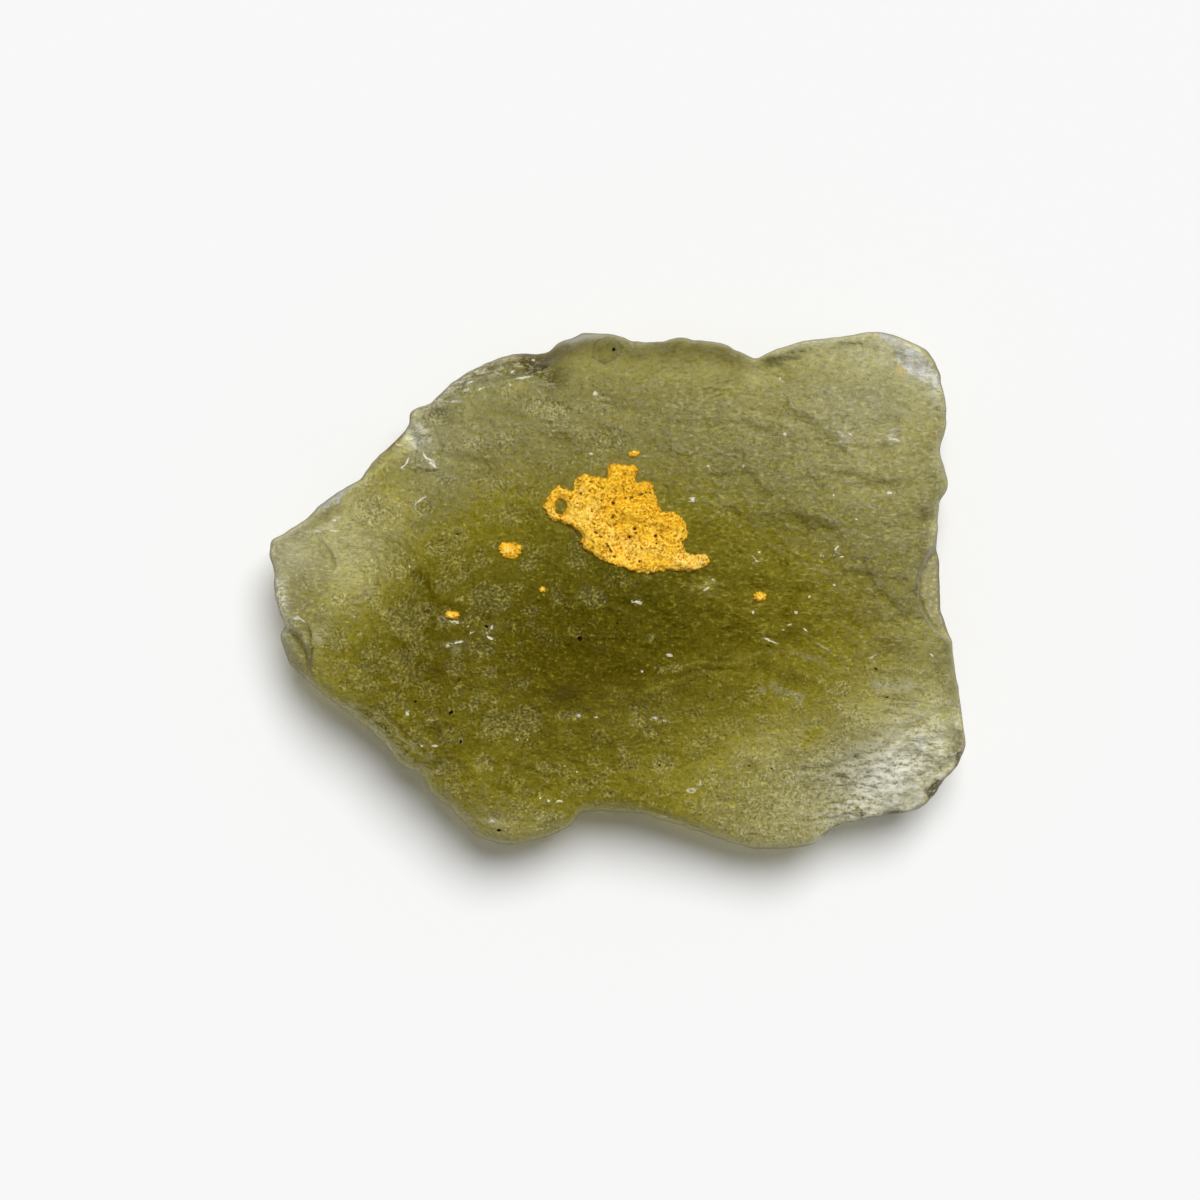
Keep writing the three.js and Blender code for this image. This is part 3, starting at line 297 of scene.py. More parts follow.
# Dark brown bands, mostly where an edge or a chip stands steep: amount, width and points.
DARK_BANDS = [
    (0.85, 0.85, [(-11.8, 10.1), (-10.7, 11), (-9.6, 11.8), (-8.2, 12.6), (-6.5, 13), (-4.8, 12.8),
        (-3.6, 12.2), (-2.8, 11.4)]),
    (0.5, 0.4, [(-19.7, 2.9), (-18.6, 3.35), (-17.6, 3.9), (-16.4, 4.4), (-15.6, 4.8)]),
    (0.5, 0.4, [(-19.2, -2.6), (-18.8, -3.8), (-18, -4.8)]),
    (0.5, 0.16, [(-17.4, -3.2), (-17.45, -4), (-17.3, -5)]),
    (0.5, 0.5, [(18.6, 11.8), (18.7, 9.5), (18.5, 8), (18.8, 6.2), (18.3, 5), (17.9, 3.5)]),
    (0.25, 0.22, [(17.7, 3.3), (17.3, 2), (17.1, 0.3), (17.5, -1.2), (18.4, -2.5), (19, -4)]),
    (0.55, 0.4, [(18.9, -2.6), (19.1, -4), (19.4, -6), (19.7, -7.5)]),
    (0.75, 0.26, [(15.4, 14.85), (16.4, 14.5), (17.4, 14), (18.05, 13.3), (18.5, 12.5),
        (18.8, 11.8)]),
    (0.45, 0.1, [(17.2, 13.15), (17.6, 13), (18, 12.95)]),
    (1, 0.4, [(19.5, -7.8), (19.6, -8.8), (19.2, -9.7)]),
    (1.7, 0.4, [(18.7, -10.9), (18.25, -11.35), (17.8, -11.8)]),
    (1.1, 0.16, [(14, -13.2), (15.8, -12.8), (16.9, -12.7), (17.6, -12.35), (18.2, -11.7),
        (18.9, -10.9), (19.5, -9.9), (19.85, -9)]),
    (1.3, 0.2, [(-12, 9.5), (-12.2, 9.1), (-12.7, 8.6), (-13.3, 8.2)]),
    (0.5, 0.25, [(13, -13.1), (12.8, -12.8)]),
    (0.5, 0.22, [(-2.8, -13.3), (-1.7, -12.45), (0, -12.45), (2, -12.55), (4, -13.3), (6, -14)]),
    (0.45, 0.3, [(-9, -13), (-8, -13.9), (-6.1, -14.35), (-4.2, -14), (-3, -13.4)]),
    (0.4, 0.35, [(-10.9, -11.2), (-10.1, -11.9), (-9.4, -12.3)]),
    (0.35, 0.45, [(1.5, 14.2), (3.5, 14.3), (5.5, 14), (7.9, 13.1), (9.5, 13.4)]),
    (0.3, 0.4, [(-6, 13.4), (-4, 13.4), (-2.5, 14)]),
    (0.8, 0.4, [(-14.4, 6.9), (-13.3, 7.9), (-12.5, 8.6)]),
    (0.25, 0.8, [(18.7, 3.8), (18.6, 1), (18.8, -1.6), (19.1, -4), (19.5, -7)]),
    (0.3, 0.2, [(-11.7, -8.8), (-11, -9)]),
    (0.3, 0.35, [(-10.6, -9.6), (-10.5, -10.2)]),
    (0.25, 0.35, [(7, 12.4), (8.2, 12.9), (9.3, 12.5), (10.6, 12.3), (12.3, 12.4)]),
    (0.45, 0.22, [(7.3, -9.95), (7.7, -10.05), (8, -10.3)]),
    (0.3, 0.6, [(12.2, -12.4), (13.2, -12)]),
    # these three lie beside ledges and are painted shadow
    (0.12, 0.3, [(10.2, 4.1), (11.4, 3.6), (12.8, 3.6)]),
    (0.15, 0.35, [(6.9, 9.9), (7.8, 9.35), (8.6, 9.2), (9.2, 9.4)]),
    (0.12, 0.3, [(14, 2.4), (14.3, 1), (15, 0), (16.6, -1.6)]),
    (0.85, 1, [(-6, 13.4), (-3, 13.9), (-0.5, 14.2), (3, 13.8), (6, 13.3), (8, 12.6)]),
    (0.3, 0.35, [(-15.4, -6.5), (-13.6, -8.1), (-12.2, -9.7), (-10.9, -11.2)]),
]  # fmt: skip

# Tiny marks on the skin: centre x, y, half-widths, turn in degrees. The glints are painted
# highlights.
GLINTS = [
    (-9.3, 10.8, 0.39, 0.06, 0), (-8.6, 11.45, 0.16, 0.05, 10), (-7.8, 11.5, 0.17, 0.06, 20),
    (-8.4, 11.9, 0.14, 0.05, 20), (-6.1, 11.75, 0.09, 0.06, 0), (-6, 12.5, 0.14, 0.06, 20),
    (-5.3, 12.15, 0.39, 0.06, 10), (-4.8, 13.2, 0.08, 0.06, 0), (-1.25, 11.25, 0.12, 0.10, -20),
    (-1.5, 7.8, 0.09, 0.05, -20), (-16.15, 4.02, 0.12, 0.06, 20), (-16, 4.2, 0.06, 0.05, 0),
    (-17.1, 3.4, 0.27, 0.05, -5), (-16.2, 3.4, 0.23, 0.05, -5), (-11.85, 1.37, 0.09, 0.07, 0),
    (-19.4, 0.5, 0.09, 0.22, 30), (-9.2, -1.8, 0.27, 0.08, -5), (-9.55, -3.1, 0.16, 0.13, 20),
    (-9, -2.95, 0.27, 0.06, 15), (-7.2, -2.7, 0.23, 0.06, -25), (-7.1, -2.1, 0.06, 0.12, -30),
    (-8.3, -2.4, 0.06, 0.12, -20), (-11.9, -7, 0.10, 0.16, 10), (-10.6, -7.35, 0.16, 0.06, 0),
    (-10.3, -8.85, 0.16, 0.05, 0), (-11.1, -8.85, 0.11, 0.05, 0), (-5, -8.7, 0.35, 0.05, 0),
    (-4.5, -8.75, 0.31, 0.04, 0), (-5.7, -8.45, 0.05, 0.05, 0), (-5.1, -8.5, 0.05, 0.05, 0),
    (-7.15, -13.15, 0.16, 0.07, 10), (-3.3, -12.03, 0.17, 0.08, 0), (-3.9, -12, 0.07, 0.06, 0),
    (-4.4, -11.85, 0.09, 0.06, 0), (-2.3, -10.35, 0.05, 0.05, 0), (-1.2, -7.2, 0.09, 0.05, 0),
    (-2.2, -7.1, 0.12, 0.08, 0), (1.4, -4.62, 0.07, 0.07, 0), (3, -3.68, 0.16, 0.06, -10),
    (2.7, -7.42, 0.16, 0.05, 0), (2.2, -7.3, 0.20, 0.09, -20), (2.7, -12.92, 0.16, 0.05, -10),
    (4.75, -11, 0.04, 0.12, 0), (8.1, 2.17, 0.09, 0.07, 0), (8.55, 4.47, 0.06, 0.05, 0),
    (8.5, 4.12, 0.11, 0.04, 25), (12.35, 5.42, 0.05, 0.05, 0), (13.6, 4.05, 0.09, 0.04, -30),
    (11.6, 2, 0.09, 0.06, 0), (12.25, 2.03, 0.10, 0.06, 15), (12.45, 2.4, 0.05, 0.20, -35),
    (12.75, 1.9, 0.12, 0.04, 0), (5.5, 0.4, 0.10, 0.22, 0), (5.1, 0.1, 0.23, 0.05, 30),
    (5.55, 0.12, 0.09, 0.08, 0), (7.7, -1.25, 0.10, 0.07, -40), (10.15, -1.25, 0.09, 0.06, -10),
    (9.8, -1.95, 0.12, 0.05, 25), (9.45, -2.2, 0.09, 0.07, 15), (10.7, -2.25, 0.12, 0.04, -40),
    (10.9, -0.35, 0.05, 0.05, 0), (12.3, 0.3, 0.05, 0.05, 0), (13.25, -3.95, 0.05, 0.05, 0),
    (17.9, -3.7, 0.08, 0.06, -30), (19.4, -7.6, 0.10, 0.12, 0), (5.2, 7.1, 0.09, 0.05, -15),
    (7.2, 7.1, 0.08, 0.05, 20), (9.6, 8.95, 0.07, 0.09, 0), (9.3, 12.1, 0.05, 0.08, -20),
    (4.3, 5.2, 0.16, 0.10, 10), (15.6, 5.55, 0.17, 0.08, -5), (13.3, 8.9, 0.12, 0.04, -35),
    (1.15, -0.65, 0.27, 0.09, -8),
]  # fmt: skip
PITS = [
    (-2.12, -2.73, 0.17, 0.17, 0), (2.42, -9.97, 0.08, 0.07, 0), (-9.42, -6.92, 0.17, 0.12, 25),
    (-8.88, -8.6, 0.08, 0.13, -10), (7.55, -10.03, 0.1, 0.05, 0), (8.85, -10.2, 0.06, 0.05, 0),
    (5.1, -4.87, 0.07, 0.05, 0), (14.75, -4.47, 0.12, 0.05, -35), (15.4, -6.1, 0.1, 0.04, 0),
    (-6.75, -13.7, 0.13, 0.09, 0), (-11.45, -6.3, 0.12, 0.07, 30), (-0.2, 13.78, 0.11, 0.1, 0),
    (-7.4, -2.05, 0.15, 0.1, -15), (8.6, -3.15, 0.15, 0.04, -15), (-9.1, 3.2, 0.07, 0.05, 0),
    (0, -1.85, 0.09, 0.09, 0),
]  # fmt: skip
STAINS = [
    (16.25, 12.58, 0.24, 0.16, -20), (17.7, -12, 0.2, 0.1, -40), (-12.65, 8.5, 0.1, 0.08, 30),
    (-8.7, 3.75, 0.05, 0.16, 25), (-12.5, 5.25, 0.1, 0.07, 0), (-12, 4.85, 0.12, 0.06, -20),
]  # fmt: skip
# Rings: tone, centre x, y, half-widths, turn in degrees.
RINGS = [
    (-0.35, -0.55, 13.75, 0.82, 0.66, 0), (-0.2, -10.1, 9.9, 0.58, 0.54, 0),
    # the bright ring at 4.35, -11.38 is a painted glint round a bubble
    (0.7, 4.35, -11.38, 0.22, 0.13, 0), (-0.15, -14.1, 4.6, 1.1, 1, 0),
    (-0.35, 6.3, -2.2, 0.26, 0.12, 0), (0.35, -9.95, -1.6, 0.22, 0.17, 0),
    (0.35, -8.9, -8.6, 0.13, 0.18, 0), (0.35, 8.2, -5.65, 0.18, 0.14, -20),
    (-0.12, -6.8, -7.6, 1.1, 0.9, 0),
]  # fmt: skip

# Films on the skin: amount, a bluish glaze above 0 and a dull beige below, and outline.
FILMS = [
    (-0.85, [(18.3, 3.5), (17.84, 2.4), (17.5, 1.7), (17.4, 0.95), (17.28, 0.19), (17.6, -0.5),
        (17.8, -1.2), (18.3, -1.9), (18.7, -2.3), (19.6, -2.2), (19.3, 3.5)]),
    (-0.3, [(-19.6, 2.8), (-18.3, 3.4), (-17, 2.6), (-16.2, 1.2), (-16.6, 0), (-17.8, -1.2),
        (-19.4, -1.6)]),
    (-0.4, [(-19.5, -2.3), (-18.9, -2.1), (-17.75, -2.3), (-17.4, -3.2), (-17.35, -4.2),
        (-17.2, -5.6), (-18.6, -5.2), (-19.5, -3.9)]),
    (1, [(14.7, 14.95), (15.1, 14.5), (15.9, 13.9), (16.1, 13.1), (16.7, 12.4), (17.3, 12.1),
        (18.3, 11.5), (18.6, 11.9), (18.1, 12.9), (17.3, 13.65), (16.3, 14.3), (15.4, 14.85)]),
    (0.8, [(-17.4, 4.7), (-16.6, 4.65), (-15.95, 4.9), (-15.4, 5.7), (-14.9, 6.4), (-15.9, 6.2),
        (-16.9, 5.5)]),
    (0.45, [(-3.9, 13.9), (-3, 14), (-2.2, 14.3), (-0.9, 14.6), (-0.9, 15.2), (-3, 14.8)]),
]  # fmt: skip

# Crushed places with a rough, glittering fracture: centre x, y, half-widths, turn, amount,
# and the same along lines: amount, width and points.
CRUSHED = [
    (15.3, -10.6, 3, 1.9, 25, 1), (17.8, -9.2, 1.4, 1.4, 0, 0.8), (13, -12.6, 2.4, 0.8, 15, 0.6),
    (11.2, -10.6, 1.6, 0.7, 0, 0.35), (16.9, 12.8, 1.3, 0.8, -30, 0.35),
    (18.1, 11.2, 0.6, 1, 0, 0.5), (-11.3, 8.7, 0.8, 1, 0, 0.9), (-19.2, -0.3, 0.4, 1, 0, 0.8),
    (-16.9, -2.6, 0.5, 0.6, 0, 0.6), (-11.4, -8.9, 0.6, 0.4, 0, 0.4),
    (-10.4, -9.9, 0.7, 0.9, 0, 0.4), (-7.3, -13.1, 0.9, 0.4, 0, 0.5),
    (-9.2, -3.2, 0.8, 0.4, 0, 0.4), (4.9, 0.2, 0.7, 0.4, 0, 0.4), (-7.3, -2.2, 0.5, 0.4, 0, 0.3),
]  # fmt: skip
CRUSHED_BANDS = [
    (0.5, 0.7, [(-11.8, 9.9), (-10.6, 10.9), (-9.5, 11.6), (-8.1, 12.4), (-6.1, 12.8), (-4.5, 12.3),
        (-3, 11.6)]),
    (0.5, 0.25, [(-17.4, 3.2), (-16.2, 3.8), (-15.8, 4.3)]),
    (0.4, 0.5, [(-15.6, -6.3), (-13.8, -7.7), (-12.3, -9.4), (-10.9, -10.9)]),
]  # fmt: skip
CRUSHED_SPOT = (-0.0114, 0.00885, 0)  # the crushed place at the upper left, in metres
CRUSHED_REACH = (0.0008, 0.0005)  # it fades in between these distances from its middle
RIB_CENTRE = (-0.0115, 0.0108, 0)  # its ribs lie around this
RIB_WIDTH = 0.00011
# Facets of the crushed places: their cells' size, and lift and tilt as shares of their height.
CRUMBLE_SIZE = (0.55, 0.4)
CRUMBLE_LIFT, CRUMBLE_TILT = 0.5, 0.8
CRUMBLE_SLOPE = 0.2  # of the gap between two of them, where they end
CRUMBLE_HEIGHT = 0.22
CRUMBLE_SEED = 81

MARK_BEYOND = 4  # the third number of a mark's place, well away from it
MARK_FADE = (0.3, 0.5)  # that number rises over these distances from a mark
MARK_BETWEEN = (0.03, 0.12)  # and as near as this to the middle line between two marks
FILM_EDGE = 0.08  # half the width over which a film ends

GRAIN_LEFT, GRAIN_RIGHT = 0.3, 0.18  # how grainy the skin is between the bowls
GRAIN_TURN = (-1, 5)  # the x over which the left part turns into the right
GRAIN_LOWER = 0.16  # added in the lower part, which begins and is full at these y and x
GRAIN_LOWER_Y, GRAIN_LOWER_X = (-2, -6), (-2, 4)
ETCHED_PATCHES = [(1.7, 1.3, 91), (0.85, 0.7, 92)]  # spacing along and across, seed
PATCH_CHANCE = (-0.5, 0.8)  # a cell's random number gives no patch at first, a full one at last
PATCH_SPACE = (0.1, 0.6)  # a patch fades out over these distances from its middle
PATCH_GRAIN = (0.1, 0.35, 0.6)  # on a patch: everywhere, added at the left, share of that below
PATCH_LOWER = (-1, -6)  # the y of that lower part
PATCH_UPPER = (0, 5, 0.5)  # over these y, the patches lose this share
PLAIN_BELLY = (-0.5, -4.5, 6.5, 4, 0)  # and the belly, here,
PATCH_PLAIN = 0.7  # loses this share
FLOOR_REACH = (0.75, 1.05)  # the floor of a bowl ends over these shares of its width
FLOOR_GRAIN = (0.8, 0.15)  # how grainy it is, and what it loses in the upper part
GRAINY_BOWLS = BOWLS[:-2] + SMALL_BOWLS + SCALLOPS[-1:]  # not the two at the edge; the oval hollow
HAMMERED_GRAIN = 0.12  # added where the smallest bowls are deeper
# Places with less grain: centre x, y, half-widths, turn in degrees, amount.
SMOOTH_PLACES = [
    (-18.2, 1.6, 2.4, 2.2, 0, -0.35), (-14.6, 1.4, 1.6, 2.2, 0, -0.2),
    (-18.2, -3.4, 0.9, 1.6, 0, -0.3),
]  # fmt: skip

MIDDLE_HEIGHT = 3.35  # of the surface halfway between the two faces
MIDDLE_BEND = 0.0016  # how it rises with the squared distance from the middle
EDGE_THICKNESS = 3.2  # of the stone without its swells
LEAST_THICKNESS = 0.8
ROUNDING_ABOVE = 1  # how far in from the edge each face is rounded
ROUNDING_BELOW = 2.3
RING_CROWDING = 0.25  # how much closer the grid's rings lie near the edge
OUTLINE_STEPS = 24  # of the curve between two points of the outline
NICKS = [(0.9, 0.9, 0.07, 31), (0.4, 0.4, 0.04, 32)]  # of the edge: spacing, size, seed
NICK_LEVEL = 0.05
RIM_SHADE_LINE = (0.14, 1.2)  # width and amount of the dark line along the edge, which is painted shade
RIM_SHADE = (1.5, 0.2)  # and of the faint shade inside that line
RIM_FROST = 0.55  # how much milkier the edge is
RIM_FROST_WIDTH = 0.55

SHINGLE_SIZE = (3.6, 2.1)  # of a cell, along and across
SHINGLE_TURN = -13  # in degrees
SHINGLE_HEIGHT = 0.28
SHINGLE_LIFT = 0.25  # random height of a whole shingle, as a share
SHINGLE_SCATTER = 0.4  # how far the cells' middles lie off a square grid
SHINGLE_SLOPE = 0.35
SHINGLE_SEED = 3
SHINGLE_LEAST = 0.15  # share of the full height where the shingles have faded out
SHINGLE_RIGHT = (-2, 4)  # they rise to full height over these x
SHINGLE_LOWER = (-5, -0.5)  # and over these y
SHINGLE_UPPER = (6, 9, 0.55)  # and over these y to this share, whatever the x
CHIP_SIZE = (1.25, 0.6)  # the small shingles on top of the large ones
CHIP_HEIGHT = 0.1
CHIP_SEED = 61
HAMMER_SIZE = (0.62, 0.5)  # the smallest bowls of the etched skin
HAMMER_WIDTH = 0.75  # of one, as a share of its cell
HAMMER_RIGHT = 0.6  # how much shallower they are at the right
HAMMER_DEPTH = 0.055
HAMMER_SEED = 71
# Places with deeper ones: centre x, y, half-widths, turn in degrees, amount.
HAMMERED = [
    (11.2, -11, 3.4, 1.8, 10, 1.6), (8.5, -12.8, 3, 1.3, 0, 1), (-13.5, 0.8, 1.8, 1.6, 0, 0.6),
]  # fmt: skip

RIPPLE_PITCH = 1.3  # from one rib of the shell-like fracture to the next
RIPPLE_HEIGHT = 0.16
RIPPLE_SWAY = (1.9, 1.9, 0.35, 6)  # spacing along and across, share of the pitch, seed
RIPPLE_CENTRE = (21.5, -15.5)
RIPPLE_REACH = (6, 11)  # they fade out over these distances from the centre

# Dimples: how many, least and most radius, least and most depth.
DIMPLES = (130, (0.75, 1.7), (0.08, 0.3))
DIMPLE_SEED = 7919
SMALL_DIMPLES = (900, (0.2, 0.8), (0.01, 0.08))
SMALL_DIMPLE_SEED = 4241
DIMPLE_RANGE = ((-20, 20), (-15, 15))  # of their x and y
RANDOM_STEP, RANDOM_MOST = 16807, 2147483647  # each random number is the last one times the step
HASH_STEPS, HASH_SCALE = (127.1, 311.7, 74.7), 43758.5453  # for corner_height

# Soft random relief: spacing along and across the stone, height, seed.
ROLLING_ABOVE = [(3.4, 2.8, 0.2, 1), (1.5, 1.3, 0.1, 2)]
ROLLING_BELOW = [(3.8, 3.1, 0.16, 11), (1.6, 1.4, 0.08, 12)]
FINE_RELIEF = [(0.9, 0.32, 0.025, 41), (0.42, 0.38, 0.02, 42)]
HOLLOW_FULL = 0.08  # a hollow this deep gets the darkest painted shade
HOLLOW_REACH = 0.2  # the skin is compared with that at this distance around

# The skin is deepest in colour here, and paler outwards: centre x, y, half-widths, turn.
DEEPEST = (-1.5, -3.3, 20.5, 12.6, 0)
PALE_MOST, PALE_REACH = 0.6, 1.15  # how pale it grows, at this share of the half-widths
# Patches that are paler still: centre x, y, half-widths, turn in degrees, amount.
PALE_PATCHES = [
    (0, 12.8, 8, 2.6, 0, -0.05), (-11.3, -3.4, 2.4, 3.2, 0, -0.08), (-14.6, 1.2, 2.2, 2.4, 0, 0.15),
    (8, -8.6, 5, 3.2, -10, 0.12), (14, 11, 3.5, 2.5, 0, 0.1), (15, -11, 2.6, 2, 20, 0.12),
    (-16.5, 3, 3.6, 3, 0, 0.09), (-19, -3, 1.2, 3, 0, 0.15), (-18.6, 2, 1.4, 1.3, 0, 0.12),
    (-13, 6.4, 1.6, 1.6, 0, -0.1), (0, -13.2, 3, 0.6, 0, 0.12), (-2.2, 14.5, 1.5, 0.35, 8, 0.3),
    (17.5, 13.5, 2, 1.6, -40, 0.04), (14, 13.8, 3, 0.9, 0, 0.1), (-10.2, 7.2, 2.2, 3.6, -25, 0.08),
    (16, -9.8, 4.2, 3.2, 40, 0.13), (18.8, 0.5, 1.3, 5, 0, -0.03), (1, -12.3, 3.4, 1.2, 0, -0.14),
    # the first patch here whitens the crushed corner as a painted highlight
    (15.3, -10.6, 2.4, 1.4, 25, 0.16), (16.5, -12.2, 1.5, 0.7, 15, 0.14),
    (12.8, -12.2, 1.6, 0.8, 15, -0.1), (-10.2, -9.4, 1.7, 1.6, 0, -0.14), (-17, -2, 1, 1, 0, 0.08),
]  # fmt: skip
# A painted yellow glow, where light comes through the thin glass: centre x, y, half-widths, turn in
# degrees, amount.
GLOW_PATCHES = [
    (-14.6, 1.6, 2, 2.4, 0, 0.55), (-17, 1, 1.2, 2.4, 10, 0.1), (-13, 4.6, 1.4, 1.4, 0, 0.35),
    (9.4, -8.4, 2.2, 1.4, 0, 0.25), (6.5, -9.8, 5.5, 3.2, 0, 0.15), (14.4, -6.8, 2.4, 1.6, 0, 0.35),
    (9.3, -12.8, 3, 1.5, 0, 0.15), (12, 9.8, 5, 1.7, 0, 0.2), (14.6, 6.8, 3, 2.2, 0, 0.22),
    (0, -6.8, 6, 2.2, 0, 0.16), (-7.5, -5, 2.2, 2.2, 0, 0.12), (-5.5, -13.4, 2, 0.8, 0, 0.15),
]  # fmt: skip
# Frost on the skin: everywhere, share of the paleness, of the glow and of the dimples' depth.
FROST = (0.12, 0.16, 0.45, 0.5)
FROST_DEPTH = 0.08  # of a dimple whose floor is fully frosted
# Patches of more frost, in the same way.
FROST_PATCHES = [
    (-11.6, 8.9, 0.9, 0.8, -40, 0.35),  # crushed spot at the upper left
    (16.9, 13.3, 2.2, 1, -42, 0.3),
    (17.3, -8.6, 3.4, 2.2, 62, 0.3),  # silvery corner
    (14, -12.3, 3, 1, 8, 0.1), (-3.6, 10.4, 1.3, 0.6, -6, 0.08), (-18.6, 2.3, 1.3, 1.6, 0, 0.12),
    (-19.2, -1, 0.5, 1.5, 0, 0.3), (5, 0.35, 0.6, 0.4, 20, 0.15), (18.8, 0.3, 0.8, 3.2, 0, 0.12),
]  # fmt: skip

# The clay crust from above, clockwise from its left end, and the hole through it.
CRUST_OUTLINE = [
    (-4.3, 4.8), (-3.8, 5.7), (-3.3, 6), (-2.6, 5.75), (-2.5, 6.25), (-2, 6.7), (-0.7, 6.5),
    (-0.7, 7.05), (-0.2, 7.35), (0.5, 7.3), (1.3, 6.95), (1.15, 6.25), (1.9, 6.2), (2.2, 5.5),
    (2.7, 4.55), (3.3, 4.5), (3.75, 4.1), (4.1, 3.1), (3.85, 2.8), (4.1, 2.1), (4.8, 2.15),
    (5.3, 1.9), (5.2, 1.35), (4.5, 1.1), (2.9, 1.05), (1.2, 0.95), (-0.4, 1.5), (-1.4, 1.9),
    (-2.1, 2.7), (-2.2, 3.2), (-3.1, 3.75), (-4, 4.15),
]  # fmt: skip
CRUST_HOLE = (-3.2, 4.77, 0.26, 0.34, 0)
CRUST_CELL = 0.055
CRUST_SLOPE = 0.22  # width of the crust's crumbling edge
CRUST_ROOT = 0.05  # how deep the clay sits in the pores of the glass
CRUST_MARGIN = 0.2  # of its grid around the outline
CRUST_LEAST = 0.04  # the least thickness, under a pore
CRUST_LUMPS = [(0.9, 0.9, 0.13, 21), (0.4, 0.4, 0.09, 22)]
CRUST_CRUMBS = [(0.3, 0.3, 0.1, 92), (0.13, 0.13, 0.06, 93)]  # along the outline
CRUST_GRAINS = (0.17, 0.07, 91)  # size, height, seed
CRUST_PORE_DEPTH, CRUST_CREASE_DEPTH = 0.35, 0.15
PORE_WIDTH, PORE_SHADE = 0.7, 0.6  # of the hole and of its dark floor, as shares of the radius
# Pores of the crust: centre x, y and radius.
CRUST_PORES = [
    (-0.24, 4.95, 0.15), (-0.25, 4.15, 0.12), (0.69, 3.02, 0.14), (0.98, 3.49, 0.17),
    (1.06, 3.24, 0.12), (2.18, 3.08, 0.15), (2.22, 2.65, 0.1), (3.3, 3.08, 0.1), (3.5, 2.46, 0.1),
    (1.27, 1.62, 0.13), (-1.44, 4.5, 0.09), (-2.08, 5.51, 0.1), (-1.57, 5.66, 0.08),
    (1.4, 6.4, 0.1), (0.4, 6.6, 0.08), (-0.9, 5.1, 0.07), (0.2, 2.4, 0.08), (2.9, 3.9, 0.08),
]  # fmt: skip
# Cracks and small steps across the crust: depth share, width and points.
CRUST_CREASES = [
    (0.75, 0.09, [(-1.3, 3.4), (-0.75, 2.95), (-0.35, 2.3), (-0.2, 1.75)]),
    (0.65, 0.07, [(0.2, 5.15), (1, 5.25), (1.6, 5.5), (2, 5.65)]),
    (0.5, 0.08, [(-1.6, 6.2), (-1.2, 5.8), (-0.6, 5.7)]),
    (0.5, 0.08, [(2.5, 3.3), (2.8, 2.8), (3.2, 2.4)]),
    (0.5, 0.08, [(-1.9, 4.2), (-1.2, 3.8), (-0.4, 3.6), (0.3, 3.9)]),
]  # fmt: skip
# Where the clay is a richer orange, above 0, or creamy, below 0.
CRUST_TONES = [
    (1.4, 5, 1.9, 1.2, -30, 1.4), (0, 6.6, 1.2, 0.6, 0, 0.7), (-1.9, 4.6, 1.3, 0.8, -35, -0.8),
    (-0.2, 3, 1.6, 0.7, -35, -0.5), (2.2, 2.2, 1.4, 0.7, -10, -0.35), (4.3, 1.6, 1.1, 0.6, 0, -0.9),
    (-1.2, 2.5, 0.7, 0.9, 20, 0.1),
]  # fmt: skip

FLECK_GRID = (48, 25)  # points round a fleck, and from its foot to its crown
FLECK_LUMPS = [(3, 1, 0.18), (8, 3, 0.1)]  # fineness round and up, height
FLECK_SEED = 101
FLECK_RICH_RIM = (0.3, 0.8)  # the clay is richer towards the edge
# Flecks of clay: centre x, y, half-widths, turn in degrees, height.
FLECKS = {
    "clay_fleck_left": (-6.1, 2.3, 0.72, 0.46, -8, 0.32),
    "clay_fleck_above": (0.95, 7.8, 0.32, 0.2, 5, 0.25),
    "clay_fleck_lower_left": (-9.35, -1.4, 0.42, 0.24, -12, 0.25),
    "clay_fleck_middle": (-4.25, 0.05, 0.2, 0.17, 0, 0.22),
    "clay_fleck_right": (8.1, -0.35, 0.34, 0.3, 20, 0.25),
}

# Colours of the glass's skin.
PALEST = (0.95, 0.94, 0.85)
# yellow of the painted glow
PAINTED_GLOW = (0.9, 0.785, 0.21, 1)
BOWL_FLOOR = (0.66, 0.61, 0.36, 1)
BEIGE_FILM = (0.36, 0.315, 0.2, 1)
BLUISH_FILM = (0.54, 0.55, 0.55, 1)
# brown of the chips and cracks, and painted shade along the edge and beside some ledges
EDGE_BROWN_AND_SHADE = (0.13, 0.1, 0.02, 1)
# dark hair lines, and the painted shade at the foot of each ledge
DARK_HAIR_AND_LEDGE_SHADE = (0.05, 0.04, 0.01, 1)
# colours of the specks, and of the painted highlights on threads and terrace edges
YELLOW_SPECK = (0.93, 0.81, 0.12, 1)
PALE_SPECK = (0.98, 0.93, 0.56, 1)
# white of the splinters, and of the painted glints
SPLINTER_AND_GLINT = (0.93, 0.92, 0.8, 1)
STAIN = (0.55, 0.36, 0.07, 1)
PIT = (0.004, 0.003, 0.001, 1)
REFLECTION = (0.11, 0.105, 0.02, 1)
GLASS_IOR = 1.49
GLASS_RELIEF = 0.00016  # depth of the finest relief, in metres

# Colours of the clay.
CREAMY = (0.97, 0.6, 0.09)
CREAM_GRAIN = (1, 0.81, 0.32, 1)
RUST = (0.5, 0.21, 0.006, 1)
# dark gaps between grains, and painted shade in pores and cracks
GAP_AND_PORE_SHADE = (0.1, 0.04, 0.004, 1)
CLAY_IOR = 1.45
CLAY_RELIEF = 0.00009

# The studio, in metres.
FLOOR_COLOUR = (0.9, 0.9, 0.9, 1)
WINDOW_WAY = Vector((0.17, 0.46, 0.87))
CAMERA_PLACE = (-0.00098, -0.00055, 0.1955)
CAMERA_LENS, CAMERA_SENSOR = 100, 36


